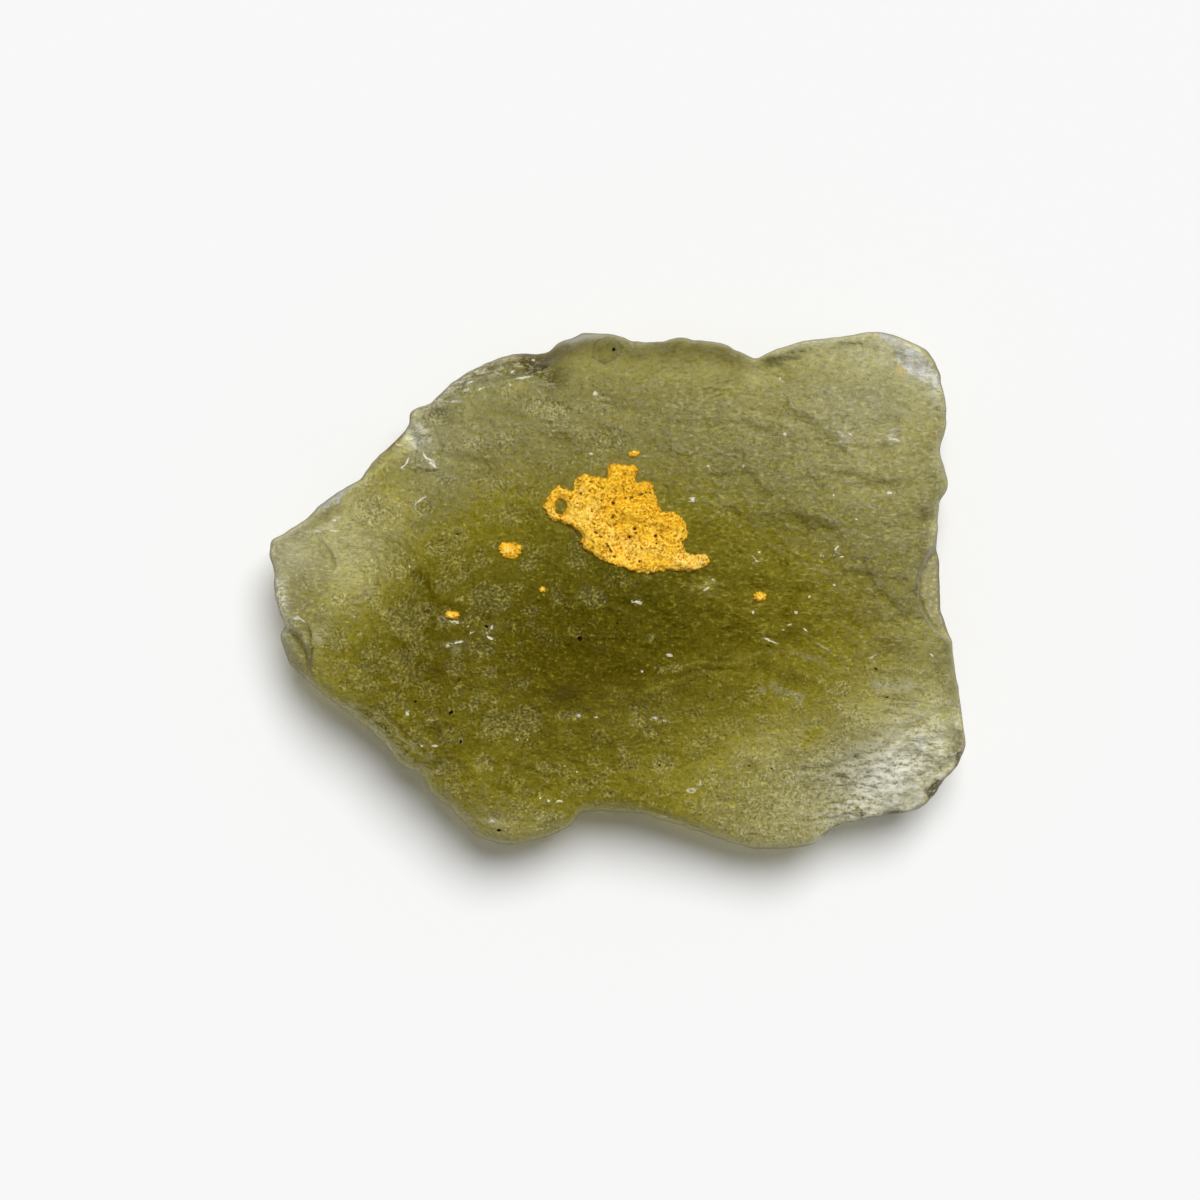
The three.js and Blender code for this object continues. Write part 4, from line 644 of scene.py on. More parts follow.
class MoldaviteGlass(bpy.types.PropertyGroup):
    """The glass: how fine its surface is, and how it looks."""

    cells: IntProperty(
        name="Cells",
        description="Cells along one side of the grid that covers each face",
        default=220,
        min=20,
    )
    roughness: FloatProperty(
        name="Etching", description="How matt the etched glass is", default=0.3, min=0, max=1
    )
    clear_colour: FloatVectorProperty(
        name="Colour",
        description="Light that the glass lets through, before the depth is counted",
        subtype="COLOR",
        default=(0.69, 0.645, 0.1325),
    )
    deep_colour: FloatVectorProperty(
        name="Deep Skin",
        description="Colour of the skin where it is darkest",
        subtype="COLOR",
        default=(0.4, 0.328, 0.004),
    )
    middle_colour: FloatVectorProperty(
        name="Middle Skin",
        description="Colour of the skin between the two",
        subtype="COLOR",
        default=(0.72, 0.645, 0.06),
    )
    pale_colour: FloatVectorProperty(
        name="Pale Skin",
        description="Colour of the skin where it is frosted",
        subtype="COLOR",
        default=(0.78, 0.75, 0.44),
    )
    density: FloatProperty(
        name="Density", description="How fast the glass darkens, per metre", default=330, min=0
    )


class MoldaviteClay(bpy.types.PropertyGroup):
    """The clay left in the hollows of the glass: how it looks."""

    thickness: FloatProperty(
        name="Thickness", description="Of the crust", default=0.45 * MM, unit="LENGTH", min=0.0001
    )
    colour: FloatVectorProperty(
        name="Colour",
        description="Colour of most of the clay",
        subtype="COLOR",
        default=(0.93, 0.49, 0.016),
    )
    deep_colour: FloatVectorProperty(
        name="Deep Colour",
        description="Colour of the clay where it is richest",
        subtype="COLOR",
        default=(0.8, 0.38, 0.006),
    )
    grain_colour: FloatVectorProperty(
        name="Grains",
        description="Colour of the palest grains",
        subtype="COLOR",
        default=(1.0, 0.71, 0.06),
    )


class MoldaviteStudio(bpy.types.PropertyGroup):
    """The floor and the light."""

    floor_width: FloatProperty(
        name="Floor", description="Width of the floor", default=2.0, unit="LENGTH", min=0.2
    )
    light_angle: FloatProperty(
        name="Softness",
        description="How wide the window looks from the stone",
        default=0.62,
        subtype="ANGLE",
        min=0,
        max=3.1,
    )
    light_strength: FloatProperty(
        name="Light", description="Strength of the window's light", default=2.97, min=0
    )
    air_strength: FloatProperty(
        name="Air", description="Strength of the even light from all sides", default=0.22, min=0
    )


def smoothstep(low, high, value):
    """0 before the low value and 1 beyond the high one, with an eased change between them."""
    share = np.clip((value - low) / (high - low), 0, 1)
    return share * share * (3 - 2 * share)


def corner_height(i, j, seed):
    """A fixed random height between -1 and 1 for each whole-number corner."""
    along, across, other = HASH_STEPS
    wave = np.sin(i * along + j * across + seed * other) * HASH_SCALE
    return 2 * (wave - np.floor(wave)) - 1


def noise(x, y, seed):
    """Value noise: the heights of the four corners round a point, blended smoothly."""
    i, j = np.floor(x), np.floor(y)
    u, v = smoothstep(0, 1, x - i), smoothstep(0, 1, y - j)
    near = corner_height(i, j, seed) * (1 - u) + corner_height(i + 1, j, seed) * u
    far = corner_height(i, j + 1, seed) * (1 - u) + corner_height(i + 1, j + 1, seed) * u
    return near * (1 - v) + far * v


def ellipse_place(x, y, centre_x, centre_y, a, b, turn):
    """The place in a turned ellipse, as shares of its half-widths."""
    angle = np.radians(turn)
    across, along = x - centre_x, y - centre_y
    u = (across * np.cos(angle) + along * np.sin(angle)) / a
    v = (along * np.cos(angle) - across * np.sin(angle)) / b
    return u, v


def ellipse_share(x, y, *ellipse):
    """Distance from a turned ellipse's centre, as a share of its half-widths."""
    return np.hypot(*ellipse_place(x, y, *ellipse))


def patch_sum(x, y, patches):
    """Soft bell-shaped spots, each its amount times exp of minus the squared share."""
    return sum(h * np.exp(-(ellipse_share(x, y, *place) ** 2)) for *place, h in patches)


def thickness(x, y):
    """How thick the stone is: a plain disc, swollen and thinned by broad patches."""
    return np.maximum(EDGE_THICKNESS + patch_sum(x, y, SWELLS), LEAST_THICKNESS)


def scallop_depth(x, y, scallops):
    """How far scallops cut in: full depth inside, easing out over the sloping side."""
    return sum(
        depth * (1 - smoothstep(1 - side, 1, ellipse_share(x, y, *place)))
        for *place, depth, side in scallops
    )


def rolling_height(x, y, layers):
    """The summed value noise of some layers."""
    return sum(h * noise(x / across, y / along, seed) for across, along, h, seed in layers)


def nearest_cells(u, v, seed):
    """Cells round scattered middles: distance to the nearest and the next, the place along v
    from the nearest, and that cell's random number."""
    first = np.full_like(u, np.inf)
    second, along, lift = first.copy(), np.zeros_like(u), np.zeros_like(u)
    for row in (-1, 0, 1):
        for column in (-1, 0, 1):
            i, j = np.floor(u) + column, np.floor(v) + row
            away_u = u - (i + 0.5 + SHINGLE_SCATTER * corner_height(i, j, seed))
            away_v = v - (j + 0.5 + SHINGLE_SCATTER * corner_height(i, j, seed + 1))
            away = np.hypot(away_u, away_v)
            nearer = away < first
            second = np.where(nearer, first, np.minimum(second, away))
            along = np.where(nearer, away_v, along)
            lift = np.where(nearer, corner_height(i, j, seed + 2), lift)
            first = np.minimum(first, away)
    return first, second, along, lift


def shingle_height(x, y, size, height, seed):
    """Each cell rises towards its lower side and drops there to the next one."""
    u, v = ellipse_place(x, y, 0, 0, *size, SHINGLE_TURN)
    first, second, along, lift = nearest_cells(u, v, seed)
    inside = smoothstep(0, SHINGLE_SLOPE, second - first)
    return height * shingle_reach(x, y) * inside * (SHINGLE_LIFT * lift - along)


def shingle_reach(x, y):
    """Shingles fade out to the left and towards the lower edge."""
    right = smoothstep(*SHINGLE_RIGHT, x) * smoothstep(*SHINGLE_LOWER, y)
    upper = SHINGLE_UPPER[2] * smoothstep(*SHINGLE_UPPER[:2], y)
    return SHINGLE_LEAST + (1 - SHINGLE_LEAST) * np.maximum(right, upper)


def place_at_line(x, y, line):
    """Beside a line of straight pieces: the distance, more than 0 on its left, and the share of
    its length that comes before the nearest place on it."""
    points = np.array(line, float)
    lengths = np.linalg.norm(np.diff(points, axis=0), axis=1)
    before = np.concatenate([[0], np.cumsum(lengths)])
    nearest, side, share = np.full_like(x, np.inf), np.ones_like(x), np.zeros_like(x)
    for start, end, length, passed in zip(points[:-1], points[1:], lengths, before):
        way = (end - start) / length
        forward = (x - start[0]) * way[0] + (y - start[1]) * way[1]
        left = (y - start[1]) * way[0] - (x - start[0]) * way[1]
        along = np.clip(forward, 0, length)
        away = np.hypot(forward - along, left)
        nearer = away < nearest
        nearest = np.where(nearer, away, nearest)
        side = np.where(nearer, np.where(left < 0, -1, 1), side)
        share = np.where(nearer, passed + along, share)
    return nearest * side, share / before[-1]


def beside_line(x, y, line, reach):
    """The points within reach of a line's box, and their distances and shares along it."""
    low, high = np.min(line, axis=0) - reach, np.max(line, axis=0) + reach
    near = (x > low[0]) & (x < high[0]) & (y > low[1]) & (y < high[1])
    return near, *place_at_line(x[near], y[near], line)


def line_taper(share, taper=LEDGE_TAPER):
    """Full along the middle of a line, fading out at both ends."""
    return smoothstep(0, taper, np.minimum(share, 1 - share))


def swayed(x, y):
    """Places moved a little by noise, so that straight pieces become natural lines."""
    across, along, amount, seed = LEDGE_SWAY
    return (
        x + amount * noise(x / across, y / along, seed),
        y + amount * noise(x / across, y / along, seed + 1),
    )


def ledge_height(x, y, ledges):
    """A ledge stands up on the left of its line, drops across it, and levels out on both sides."""
    x, y = swayed(x, y)
    total = np.zeros_like(x)
    for height, reach, line in ledges:
        near, away, share = beside_line(x, y, line, reach)
        step = smoothstep(-LEDGE_SLOPE, LEDGE_SLOPE, away) - LEDGE_FOOT
        fade = np.clip(1 - np.abs(away) / reach, 0, 1) ** 2
        total[near] += height * line_taper(share) * step * fade
    return total


def drawn_lines():
    """Every hair line, and a dark line of painted shade at the foot of every ledge, with its tone.
    """
    feet = [(-0.05 - 0.2 * height, line) for height, _, line in LEDGES + FINE_LEDGES]
    return feet + LINES


def line_numbers(x, y):
    """The distance to the nearest hair line, more than 0 on its left, and its tone there."""
    x, y = swayed(x, y)
    nearest, tone = np.full_like(x, LINE_REACH[1]), np.zeros_like(x)
    for strength, line in drawn_lines():
        near, away, share = beside_line(x, y, line, LINE_REACH[1])
        nearer = np.abs(away) < np.abs(nearest[near])
        nearest[near] = np.where(nearer, away, nearest[near])
        tone[near] = np.where(nearer, strength * line_taper(share), tone[near])
    for strength, *ring in RINGS:
        away = (ellipse_share(x, y, *ring) - 1) * min(ring[2:4])
        nearer = np.abs(away) < np.abs(nearest)
        nearest, tone = np.where(nearer, away, nearest), np.where(nearer, strength, tone)
    return nearest, tone * (1 - smoothstep(*LINE_REACH, np.abs(nearest)))


def band_sum(x, y, bands):
    """Soft bands along lines, each its amount times exp of minus the squared share of its width."""
    x, y = swayed(x, y)
    total = np.zeros_like(x)
    for amount, width, line in bands:
        near, away, share = beside_line(x, y, line, 3 * width)
        total[near] += amount * line_taper(share, BAND_TAPER) * np.exp(-((away / width) ** 2))
    return total


def etched_patches(x, y):
    """Round patches on some of the cells round scattered middles: 1 on a patch, 0 between."""
    patches = np.zeros_like(x)
    for along, across, seed in ETCHED_PATCHES:
        first, _, _, lift = nearest_cells(x / along, y / across, seed)
        patch = smoothstep(*PATCH_CHANCE, lift) * (1 - smoothstep(*PATCH_SPACE, first))
        patches = np.maximum(patches, patch)
    return patches


def bowl_grain(x, y):
    """How grainy the skin is: most on the floors of the bowls, less on the etched patches."""
    floors = [1 - smoothstep(*FLOOR_REACH, ellipse_share(x, y, *b[:5])) for b in GRAINY_BOWLS]
    left = 1 - smoothstep(*GRAIN_TURN, x)
    between = GRAIN_RIGHT + (GRAIN_LEFT - GRAIN_RIGHT) * left
    between += GRAIN_LOWER * smoothstep(*GRAIN_LOWER_Y, y) * smoothstep(*GRAIN_LOWER_X, x)
    lower = smoothstep(*PATCH_LOWER, y)
    belly = np.exp(-(ellipse_share(x, y, *PLAIN_BELLY) ** 2))
    everywhere, at_left, share_below = PATCH_GRAIN
    amount = everywhere + at_left * np.maximum(left, share_below * lower)
    upper = smoothstep(*PATCH_UPPER[:2], y)
    amount = amount * (1 - PATCH_PLAIN * belly) * (1 - PATCH_UPPER[2] * upper)
    between += amount * etched_patches(x, y)
    between += HAMMERED_GRAIN * patch_sum(x, y, HAMMERED) + patch_sum(x, y, SMOOTH_PLACES)
    floor = (FLOOR_GRAIN[0] - FLOOR_GRAIN[1] * upper) * np.max(floors, axis=0)
    return np.maximum(floor, between)


def mark_place(x, y, marks):
    """The place on the nearest of many small marks, as shares of its half-widths, and a third
    number that grows away from every mark, so that nothing shows between two of them."""
    least = np.full_like(x, np.inf)
    second, place = least.copy(), np.zeros((3, *x.shape))
    for mark in marks:
        u, v = ellipse_place(x, y, *mark)
        away = (np.hypot(u, v) - 1) * min(mark[2:4])
        nearer = away < least
        second = np.where(nearer, least, np.minimum(second, away))
        place[0], place[1] = np.where(nearer, u, place[0]), np.where(nearer, v, place[1])
        least = np.minimum(least, away)
    between = 1 - smoothstep(*MARK_BETWEEN, second - least)
    place[2] = MARK_BEYOND * np.maximum(smoothstep(*MARK_FADE, least), between)
    return np.moveaxis(place, 0, -1)


def crushed(x, y):
    """How crushed the skin is, from 0 to 1."""
    return np.clip(patch_sum(x, y, CRUSHED) + band_sum(x, y, CRUSHED_BANDS), 0, 1)


def film(x, y):
    """Films on the skin: each covers the inside of its outline evenly."""
    return sum(
        amount * smoothstep(-FILM_EDGE, FILM_EDGE, outline_distance(x, y, line))
        for amount, line in FILMS
    )


def crumble_height(x, y):
    """Tilted facets of a crushed fracture, each rising along one way up to a sharp edge."""
    u, v = x / CRUMBLE_SIZE[0], y / CRUMBLE_SIZE[1]
    first, second, along, lift = nearest_cells(u, v, CRUMBLE_SEED)
    way = np.sign(corner_height(np.round(lift * 97), 0, 3))  # up or down, by the cell's number
    facet = CRUMBLE_LIFT * lift + CRUMBLE_TILT * along * way
    return CRUMBLE_HEIGHT * crushed(x, y) * facet * smoothstep(0, CRUMBLE_SLOPE, second - first)


def hammer_depth(x, y, seed):
    """Small bowls that meet in sharp ridges: one less the squared share from the nearest middle."""
    first = nearest_cells(x / HAMMER_SIZE[0], y / HAMMER_SIZE[1], seed)[0]
    return HAMMER_DEPTH * (1 - np.minimum(first / HAMMER_WIDTH, 1) ** 2)


def ripple_height(x, y):
    """Ribs of a shell-like fracture round a point outside the thin corner."""
    away = np.hypot(x - RIPPLE_CENTRE[0], y - RIPPLE_CENTRE[1])
    sway = rolling_height(x, y, [RIPPLE_SWAY])
    reach = 1 - smoothstep(*RIPPLE_REACH, away)
    return RIPPLE_HEIGHT * reach * np.sin(2 * np.pi * (away / RIPPLE_PITCH + sway))


def make_dimples(kind, seed):
    """Round dimples, placed one after another by a fixed sequence of random numbers."""
    count, radius, depth = kind
    dimples = []
    for _ in range(count):
        values = []
        for least, most in (*DIMPLE_RANGE, radius, depth):
            seed = (seed * RANDOM_STEP) % RANDOM_MOST
            values.append(least + (most - least) * seed / RANDOM_MOST)
        dimples.append(values)
    return dimples


def dimple_depth(x, y, dimples):
    """The summed depth of round dimples, each depth * (1 - share squared) squared."""
    total = np.zeros_like(x)
    for centre_x, centre_y, radius, depth in dimples:
        near = (np.abs(x - centre_x) < radius) & (np.abs(y - centre_y) < radius)
        share = ((x[near] - centre_x) ** 2 + (y[near] - centre_y) ** 2) / radius**2
        total[near] += depth * np.clip(1 - share, 0, None) ** 2
    return total


ALL_SCALLOPS = SCALLOPS + [(*bowl, BOWL_SIDE) for bowl in BOWLS]
FINE_BOWLS = [(*bowl, BOWL_SIDE) for bowl in SMALL_BOWLS]
DIMPLES_ABOVE, DIMPLES_BELOW = (make_dimples(DIMPLES, DIMPLE_SEED + face) for face in (0, 1))
FINE_ABOVE, FINE_BELOW = (make_dimples(SMALL_DIMPLES, SMALL_DIMPLE_SEED + face) for face in (0, 1))


def middle_height(x):
    """The height halfway between the two faces, bent up a little at both ends."""
    return MIDDLE_HEIGHT + MIDDLE_BEND * x * x


def upper_height(x, y):
    """The upper face without its finest relief."""
    swell = middle_height(x) + thickness(x, y) / 2
    shingles = shingle_height(x, y, SHINGLE_SIZE, SHINGLE_HEIGHT, SHINGLE_SEED)
    steps = ledge_height(x, y, LEDGES) + shingles + ripple_height(x, y)
    cuts = scallop_depth(x, y, ALL_SCALLOPS) + dimple_depth(x, y, DIMPLES_ABOVE)
    return swell + rolling_height(x, y, ROLLING_ABOVE) + steps - cuts


def lower_height(x, y):
    """The lower face, cut off level where it would reach below the ground."""
    swell = middle_height(x) - thickness(x, y) / 2 - patch_sum(x, y, KNOBS_BELOW)
    cuts = scallop_depth(x, y, SCALLOPS_BELOW) + dimple_depth(x, y, DIMPLES_BELOW)
    natural = swell + rolling_height(x, y, ROLLING_BELOW) + cuts
    return np.maximum(np.minimum(natural, upper_height(x, y) - LEAST_THICKNESS), 0)


def skin_height(x, y):
    """The upper face with the small relief that the solid is too coarse for."""
    chips = shingle_height(x, y, CHIP_SIZE, CHIP_HEIGHT, CHIP_SEED)
    small = chips + rolling_height(x, y, FINE_RELIEF) + crumble_height(x, y)
    hammered = 1 - HAMMER_RIGHT * smoothstep(*GRAIN_TURN, x) + patch_sum(x, y, HAMMERED)
    small = small - hammer_depth(x, y, HAMMER_SEED) * hammered
    small = small + ledge_height(x, y, FINE_LEDGES) - scallop_depth(x, y, FINE_BOWLS)
    return upper_height(x, y) + small - dimple_depth(x, y, FINE_ABOVE)


def skin_below(x, y):
    """The lower face with its small relief, and level where it rests on the ground."""
    face = lower_height(x, y)
    small = rolling_height(x, y, FINE_RELIEF) + hammer_depth(x, y, HAMMER_SEED + 9)
    small = small + dimple_depth(x, y, FINE_BELOW)
    return np.maximum(face + np.where(face > 0, small, 0), 0)


def hollowness(x, y):
    """How hollow the skin is: the mean height at four places around, less its own height."""
    ways = ((HOLLOW_REACH, 0), (-HOLLOW_REACH, 0), (0, HOLLOW_REACH), (0, -HOLLOW_REACH))
    around = sum(skin_height(x + right, y + up) for right, up in ways)
    return np.clip((around / 4 - skin_height(x, y)) / HOLLOW_FULL, -1, 1)


def paleness(x, y):
    """From 0, the deep olive of the thick middle, to 1, nearly white."""
    outwards = PALE_MOST * smoothstep(0, PALE_REACH, ellipse_share(x, y, *DEEPEST))
    return np.clip(outwards + patch_sum(x, y, PALE_PATCHES) + band_sum(x, y, BANDS), 0, 1)


def frost(x, y):
    """How milky the skin is: more where it is pale, on dimple floors, and in patches."""
    everywhere, of_pale, of_glow, of_floors = FROST
    floors = of_floors * np.minimum(dimple_depth(x, y, FINE_ABOVE), FROST_DEPTH)
    milky = everywhere + of_pale * paleness(x, y) + of_glow * patch_sum(x, y, GLOW_PATCHES)
    return np.clip(milky + floors + patch_sum(x, y, FROST_PATCHES), 0, 1)


def spline_through(points, steps):
    """A closed centripetal Catmull-Rom curve: each span blends its four nearest points."""
    p = np.array(points, float)
    p0, p1, p2, p3 = (np.roll(p, shift, axis=0)[:, None] for shift in (1, 0, -1, -2))

    def knot(start, end):
        return np.sqrt(np.linalg.norm(end - start, axis=-1, keepdims=True))

    t1 = knot(p0, p1)
    t2 = t1 + knot(p1, p2)
    t3 = t2 + knot(p2, p3)
    t = t1 + (t2 - t1) * (np.arange(steps) / steps)[None, :, None]
    a1 = (t1 - t) / t1 * p0 + t / t1 * p1
    a2 = (t2 - t) / (t2 - t1) * p1 + (t - t1) / (t2 - t1) * p2
    a3 = (t3 - t) / (t3 - t2) * p2 + (t - t2) / (t3 - t2) * p3
    b1 = (t2 - t) / t2 * a1 + t / t2 * a2
    b2 = (t3 - t) / (t3 - t1) * a2 + (t - t1) / (t3 - t1) * a3
    curve = (t2 - t) / (t2 - t1) * b1 + (t - t1) / (t2 - t1) * b2
    return curve.reshape(-1, 2)


def rim_points(count):
    """The outline at equal steps of its length, with small nicks along it."""
    curve = spline_through(OUTLINE, OUTLINE_STEPS)
    closed = np.vstack([curve, curve[:1]])
    along = np.concatenate([[0], np.cumsum(np.linalg.norm(np.diff(closed, axis=0), axis=1))])
    where = np.arange(count) / count * along[-1]
    x, y = np.interp(where, along, closed[:, 0]), np.interp(where, along, closed[:, 1])
    scale = 1 + (rolling_height(x, y, NICKS) - NICK_LEVEL) / np.hypot(x, y)
    return np.stack([x * scale, y * scale], axis=1)


def edge_rise(inwards, width):
    """A quarter ellipse over the width of a rounded edge: 0 at the edge, 1 further in."""
    left = 1 - np.clip(inwards / width, 0, 1)
    return np.sqrt(1 - left * left)


def stone_grid(cells):
    """The grid's rings are the outline drawn smaller and smaller: x, y and way in from the edge."""
    half = cells // 2
    right, up = np.meshgrid(np.arange(-half, half + 1), np.arange(-half, half + 1))
    ring = np.maximum(np.abs(right), np.abs(up))
    whole = np.maximum(8 * ring, 1)
    way = np.select(
        [up == ring, right == ring, up == -ring],
        [2 * ring + right, 4 * ring - up, 6 * ring - right],
        up,
    )
    rim = rim_points(4 * cells)
    place = (way % whole) / whole * len(rim)
    whole_place = np.floor(place).astype(int)
    share = (place - whole_place)[..., None]
    here, there = rim[whole_place % len(rim)], rim[(whole_place + 1) % len(rim)]
    rim_point = here * (1 - share) + there * share
    out = ring / half
    crowded = out + RING_CROWDING * out * (1 - out)
    point = rim_point * crowded[..., None]
    inwards = (1 - crowded) * np.linalg.norm(rim_point, axis=-1)
    return point[..., 0], point[..., 1], inwards, rim_point[..., 0], rim_point[..., 1]


def stone_mesh(cells):
    """Vertices and triangles of the glass: two grids of cells that share their outermost ring."""
    x, y, inwards, rim_x, rim_y = stone_grid(cells)
    edge = (upper_height(rim_x, rim_y) + lower_height(rim_x, rim_y)) / 2
    above = edge + (skin_height(x, y) - edge) * edge_rise(inwards, ROUNDING_ABOVE)
    below = edge - (edge - skin_below(x, y)) * edge_rise(inwards, ROUNDING_BELOW)
    side = cells + 1
    upper = np.arange(side * side).reshape(side, side)
    inner = np.zeros((side, side), bool)
    inner[1:-1, 1:-1] = True
    lower = upper.copy()
    lower[inner] = side * side + np.arange(inner.sum())
    top = np.stack([x, y, above], axis=-1).reshape(-1, 3)
    co = np.concatenate([top, np.stack([x, y, below], axis=-1)[inner]])
    faces = np.concatenate([cell_triangles(upper, False), cell_triangles(lower, True)])
    # painted shade along the edge: a dark line, and a faint band inside it
    rim = sum(h * np.exp(-((inwards / width) ** 2)) for width, h in (RIM_SHADE_LINE, RIM_SHADE))
    distance, tone = line_numbers(x, y)
    above_only = {
        "hollow": hollowness(x, y),
        "grain": bowl_grain(x, y),
        "crushed": crushed(x, y),
        "glow": np.clip(patch_sum(x, y, GLOW_PATCHES), 0, 1),
        "line": distance,
        "line_tone": tone,
        # painted shade along the edge, and the dark bands
        "rim": np.maximum(rim, band_sum(x, y, DARK_BANDS)),
        "film": film(x, y),
    }
    solid = RIM_FROST * np.exp(-((inwards / RIM_FROST_WIDTH) ** 2))
    skin_under = {"grain": np.full(inner.sum(), GRAIN_LEFT)}
    both = {"frost": np.clip(frost(x, y) + solid, 0, 1), "pale": paleness(x, y)}
    marks = {"glint": GLINTS, "pit": PITS, "stain": STAINS}
    skin = {
        key: np.concatenate([v.ravel(), skin_under.get(key, 0 * v[inner])])
        for key, v in above_only.items()
    }
    skin |= {key: np.concatenate([v.ravel(), v[inner]]) for key, v in both.items()}
    for key, places in marks.items():
        place = mark_place(x, y, places)
        away = np.full((inner.sum(), 3), MARK_BEYOND, float)
        skin[key] = np.concatenate([place.reshape(-1, 3), away])
    return co * MM, faces, skin


def cell_triangles(index, flipped):
    """Two triangles a cell, split from its inner corner to its outer one."""
    a, b, c, d = index[:-1, :-1], index[:-1, 1:], index[1:, 1:], index[1:, :-1]
    half = len(a) // 2
    rows, columns = np.indices(a.shape)
    rising = ((columns < half) == (rows < half))[..., None]
    straight = np.stack([a, b, c, a, c, d], axis=-1)
    crossed = np.stack([b, c, d, b, d, a], axis=-1)
    faces = np.where(rising, straight, crossed).reshape(-1, 3)
    return faces[:, ::-1] if flipped else faces


def outline_distance(x, y, outline):
    """Distance inwards from a closed outline: the least distance to its sides, negative outside."""
    start = np.array(outline, float)
    end = np.roll(start, -1, axis=0)
    point = np.stack([x.ravel(), y.ravel()], axis=1)[:, None]
    side = end - start
    share = np.clip(((point - start) * side).sum(-1) / (side**2).sum(-1), 0, 1)
    away = np.linalg.norm(point - start - share[..., None] * side, axis=-1).min(axis=1)
    above = (start[:, 1] > point[..., 1]) != (end[:, 1] > point[..., 1])
    rise = np.where(side[:, 1] == 0, 1, side[:, 1])
    crossing = start[:, 0] + (point[..., 1] - start[:, 1]) / rise * side[:, 0]
    inside = (above & (point[..., 0] < crossing)).sum(axis=1) % 2 == 1
    return np.where(inside, away, -away).reshape(x.shape)


def pore_sum(x, y, share, amount):
    """The round pores of the crust, each the amount times exp of minus the fourth power."""
    return sum(
        amount * np.exp(-((np.hypot(x - px, y - py) / (share * radius)) ** 4))
        for px, py, radius in CRUST_PORES
    )


def crust_top(x, y, inwards, thickness):
    """Height of the crust over the glass: a steep crumbling edge, lumps, grains and pores."""
    full = 1 - np.exp(-np.clip(inwards, 0, None) / CRUST_SLOPE)
    lumps = rolling_height(x, y, CRUST_LUMPS)
    size, height, seed = CRUST_GRAINS
    grains = height * (0.5 - nearest_cells(x / size, y / size, seed)[0])
    pores = pore_sum(x, y, PORE_WIDTH, CRUST_PORE_DEPTH)
    pores = pores + CRUST_CREASE_DEPTH * band_sum(x, y, CRUST_CREASES)
    return np.maximum(full * (thickness + lumps + grains) - pores, CRUST_LEAST)


def crust_mesh(thickness):
    """The crust as two height fields over a square grid, joined along the ragged outline."""
    outline = np.array(CRUST_OUTLINE)
    low, high = outline.min(axis=0) - CRUST_MARGIN, outline.max(axis=0) + CRUST_MARGIN
    columns, rows = np.ceil((high - low) / CRUST_CELL).astype(int)
    x, y = np.meshgrid(
        low[0] + CRUST_CELL * np.arange(columns + 1), low[1] + CRUST_CELL * np.arange(rows + 1)
    )
    crumbs = rolling_height(x, y, CRUST_CRUMBS)
    inwards = outline_distance(x, y, spline_through(CRUST_OUTLINE, 4)) + crumbs
    hole = (ellipse_share(x, y, *CRUST_HOLE) - 1) * min(CRUST_HOLE[2:4])
    inwards = np.minimum(inwards, hole + 0.5 * crumbs)
    glass = skin_height(x, y)
    filled = (inwards[:-1, :-1] > 0) & (inwards[1:, :-1] > 0)
    filled &= (inwards[:-1, 1:] > 0) & (inwards[1:, 1:] > 0)
    around = np.pad(filled, 1)
    inner = around[:-1, :-1] & around[1:, :-1] & around[:-1, 1:] & around[1:, 1:]
    upper = np.arange(x.size).reshape(x.shape)
    lower = np.where(inner, upper + x.size, upper)
    top = glass + np.where(inner, crust_top(x, y, inwards, thickness), 0)
    co = np.concatenate(
        [
            np.stack([x, y, top], axis=-1).reshape(-1, 3),
            np.stack([x, y, glass - CRUST_ROOT], axis=-1).reshape(-1, 3),
        ]
    )
    faces = np.concatenate([split_cells(upper, filled), split_cells(lower, filled)[:, ::-1]])
    used, renumbered = np.unique(faces, return_inverse=True)
    pore_shade = np.concatenate([crust_pore_shade(x, y).ravel()] * 2)
    tone = np.concatenate([patch_sum(x, y, CRUST_TONES).ravel()] * 2)
    skin = {"pore_shade": pore_shade[used], "rich": tone[used]}
    return co[used] * MM, renumbered.reshape(-1, 3), skin


def crust_pore_shade(x, y):
    """How dark the pores and cracks of the crust are: painted shade in these recesses."""
    return pore_sum(x, y, PORE_SHADE, 1) + band_sum(x, y, CRUST_CREASES)


def split_cells(index, filled):
    """Two triangles for each filled cell of a grid."""
    a, b, c, d = index[:-1, :-1], index[:-1, 1:], index[1:, 1:], index[1:, :-1]
    return np.stack([a, b, c, a, c, d], axis=-1)[filled].reshape(-1, 3)


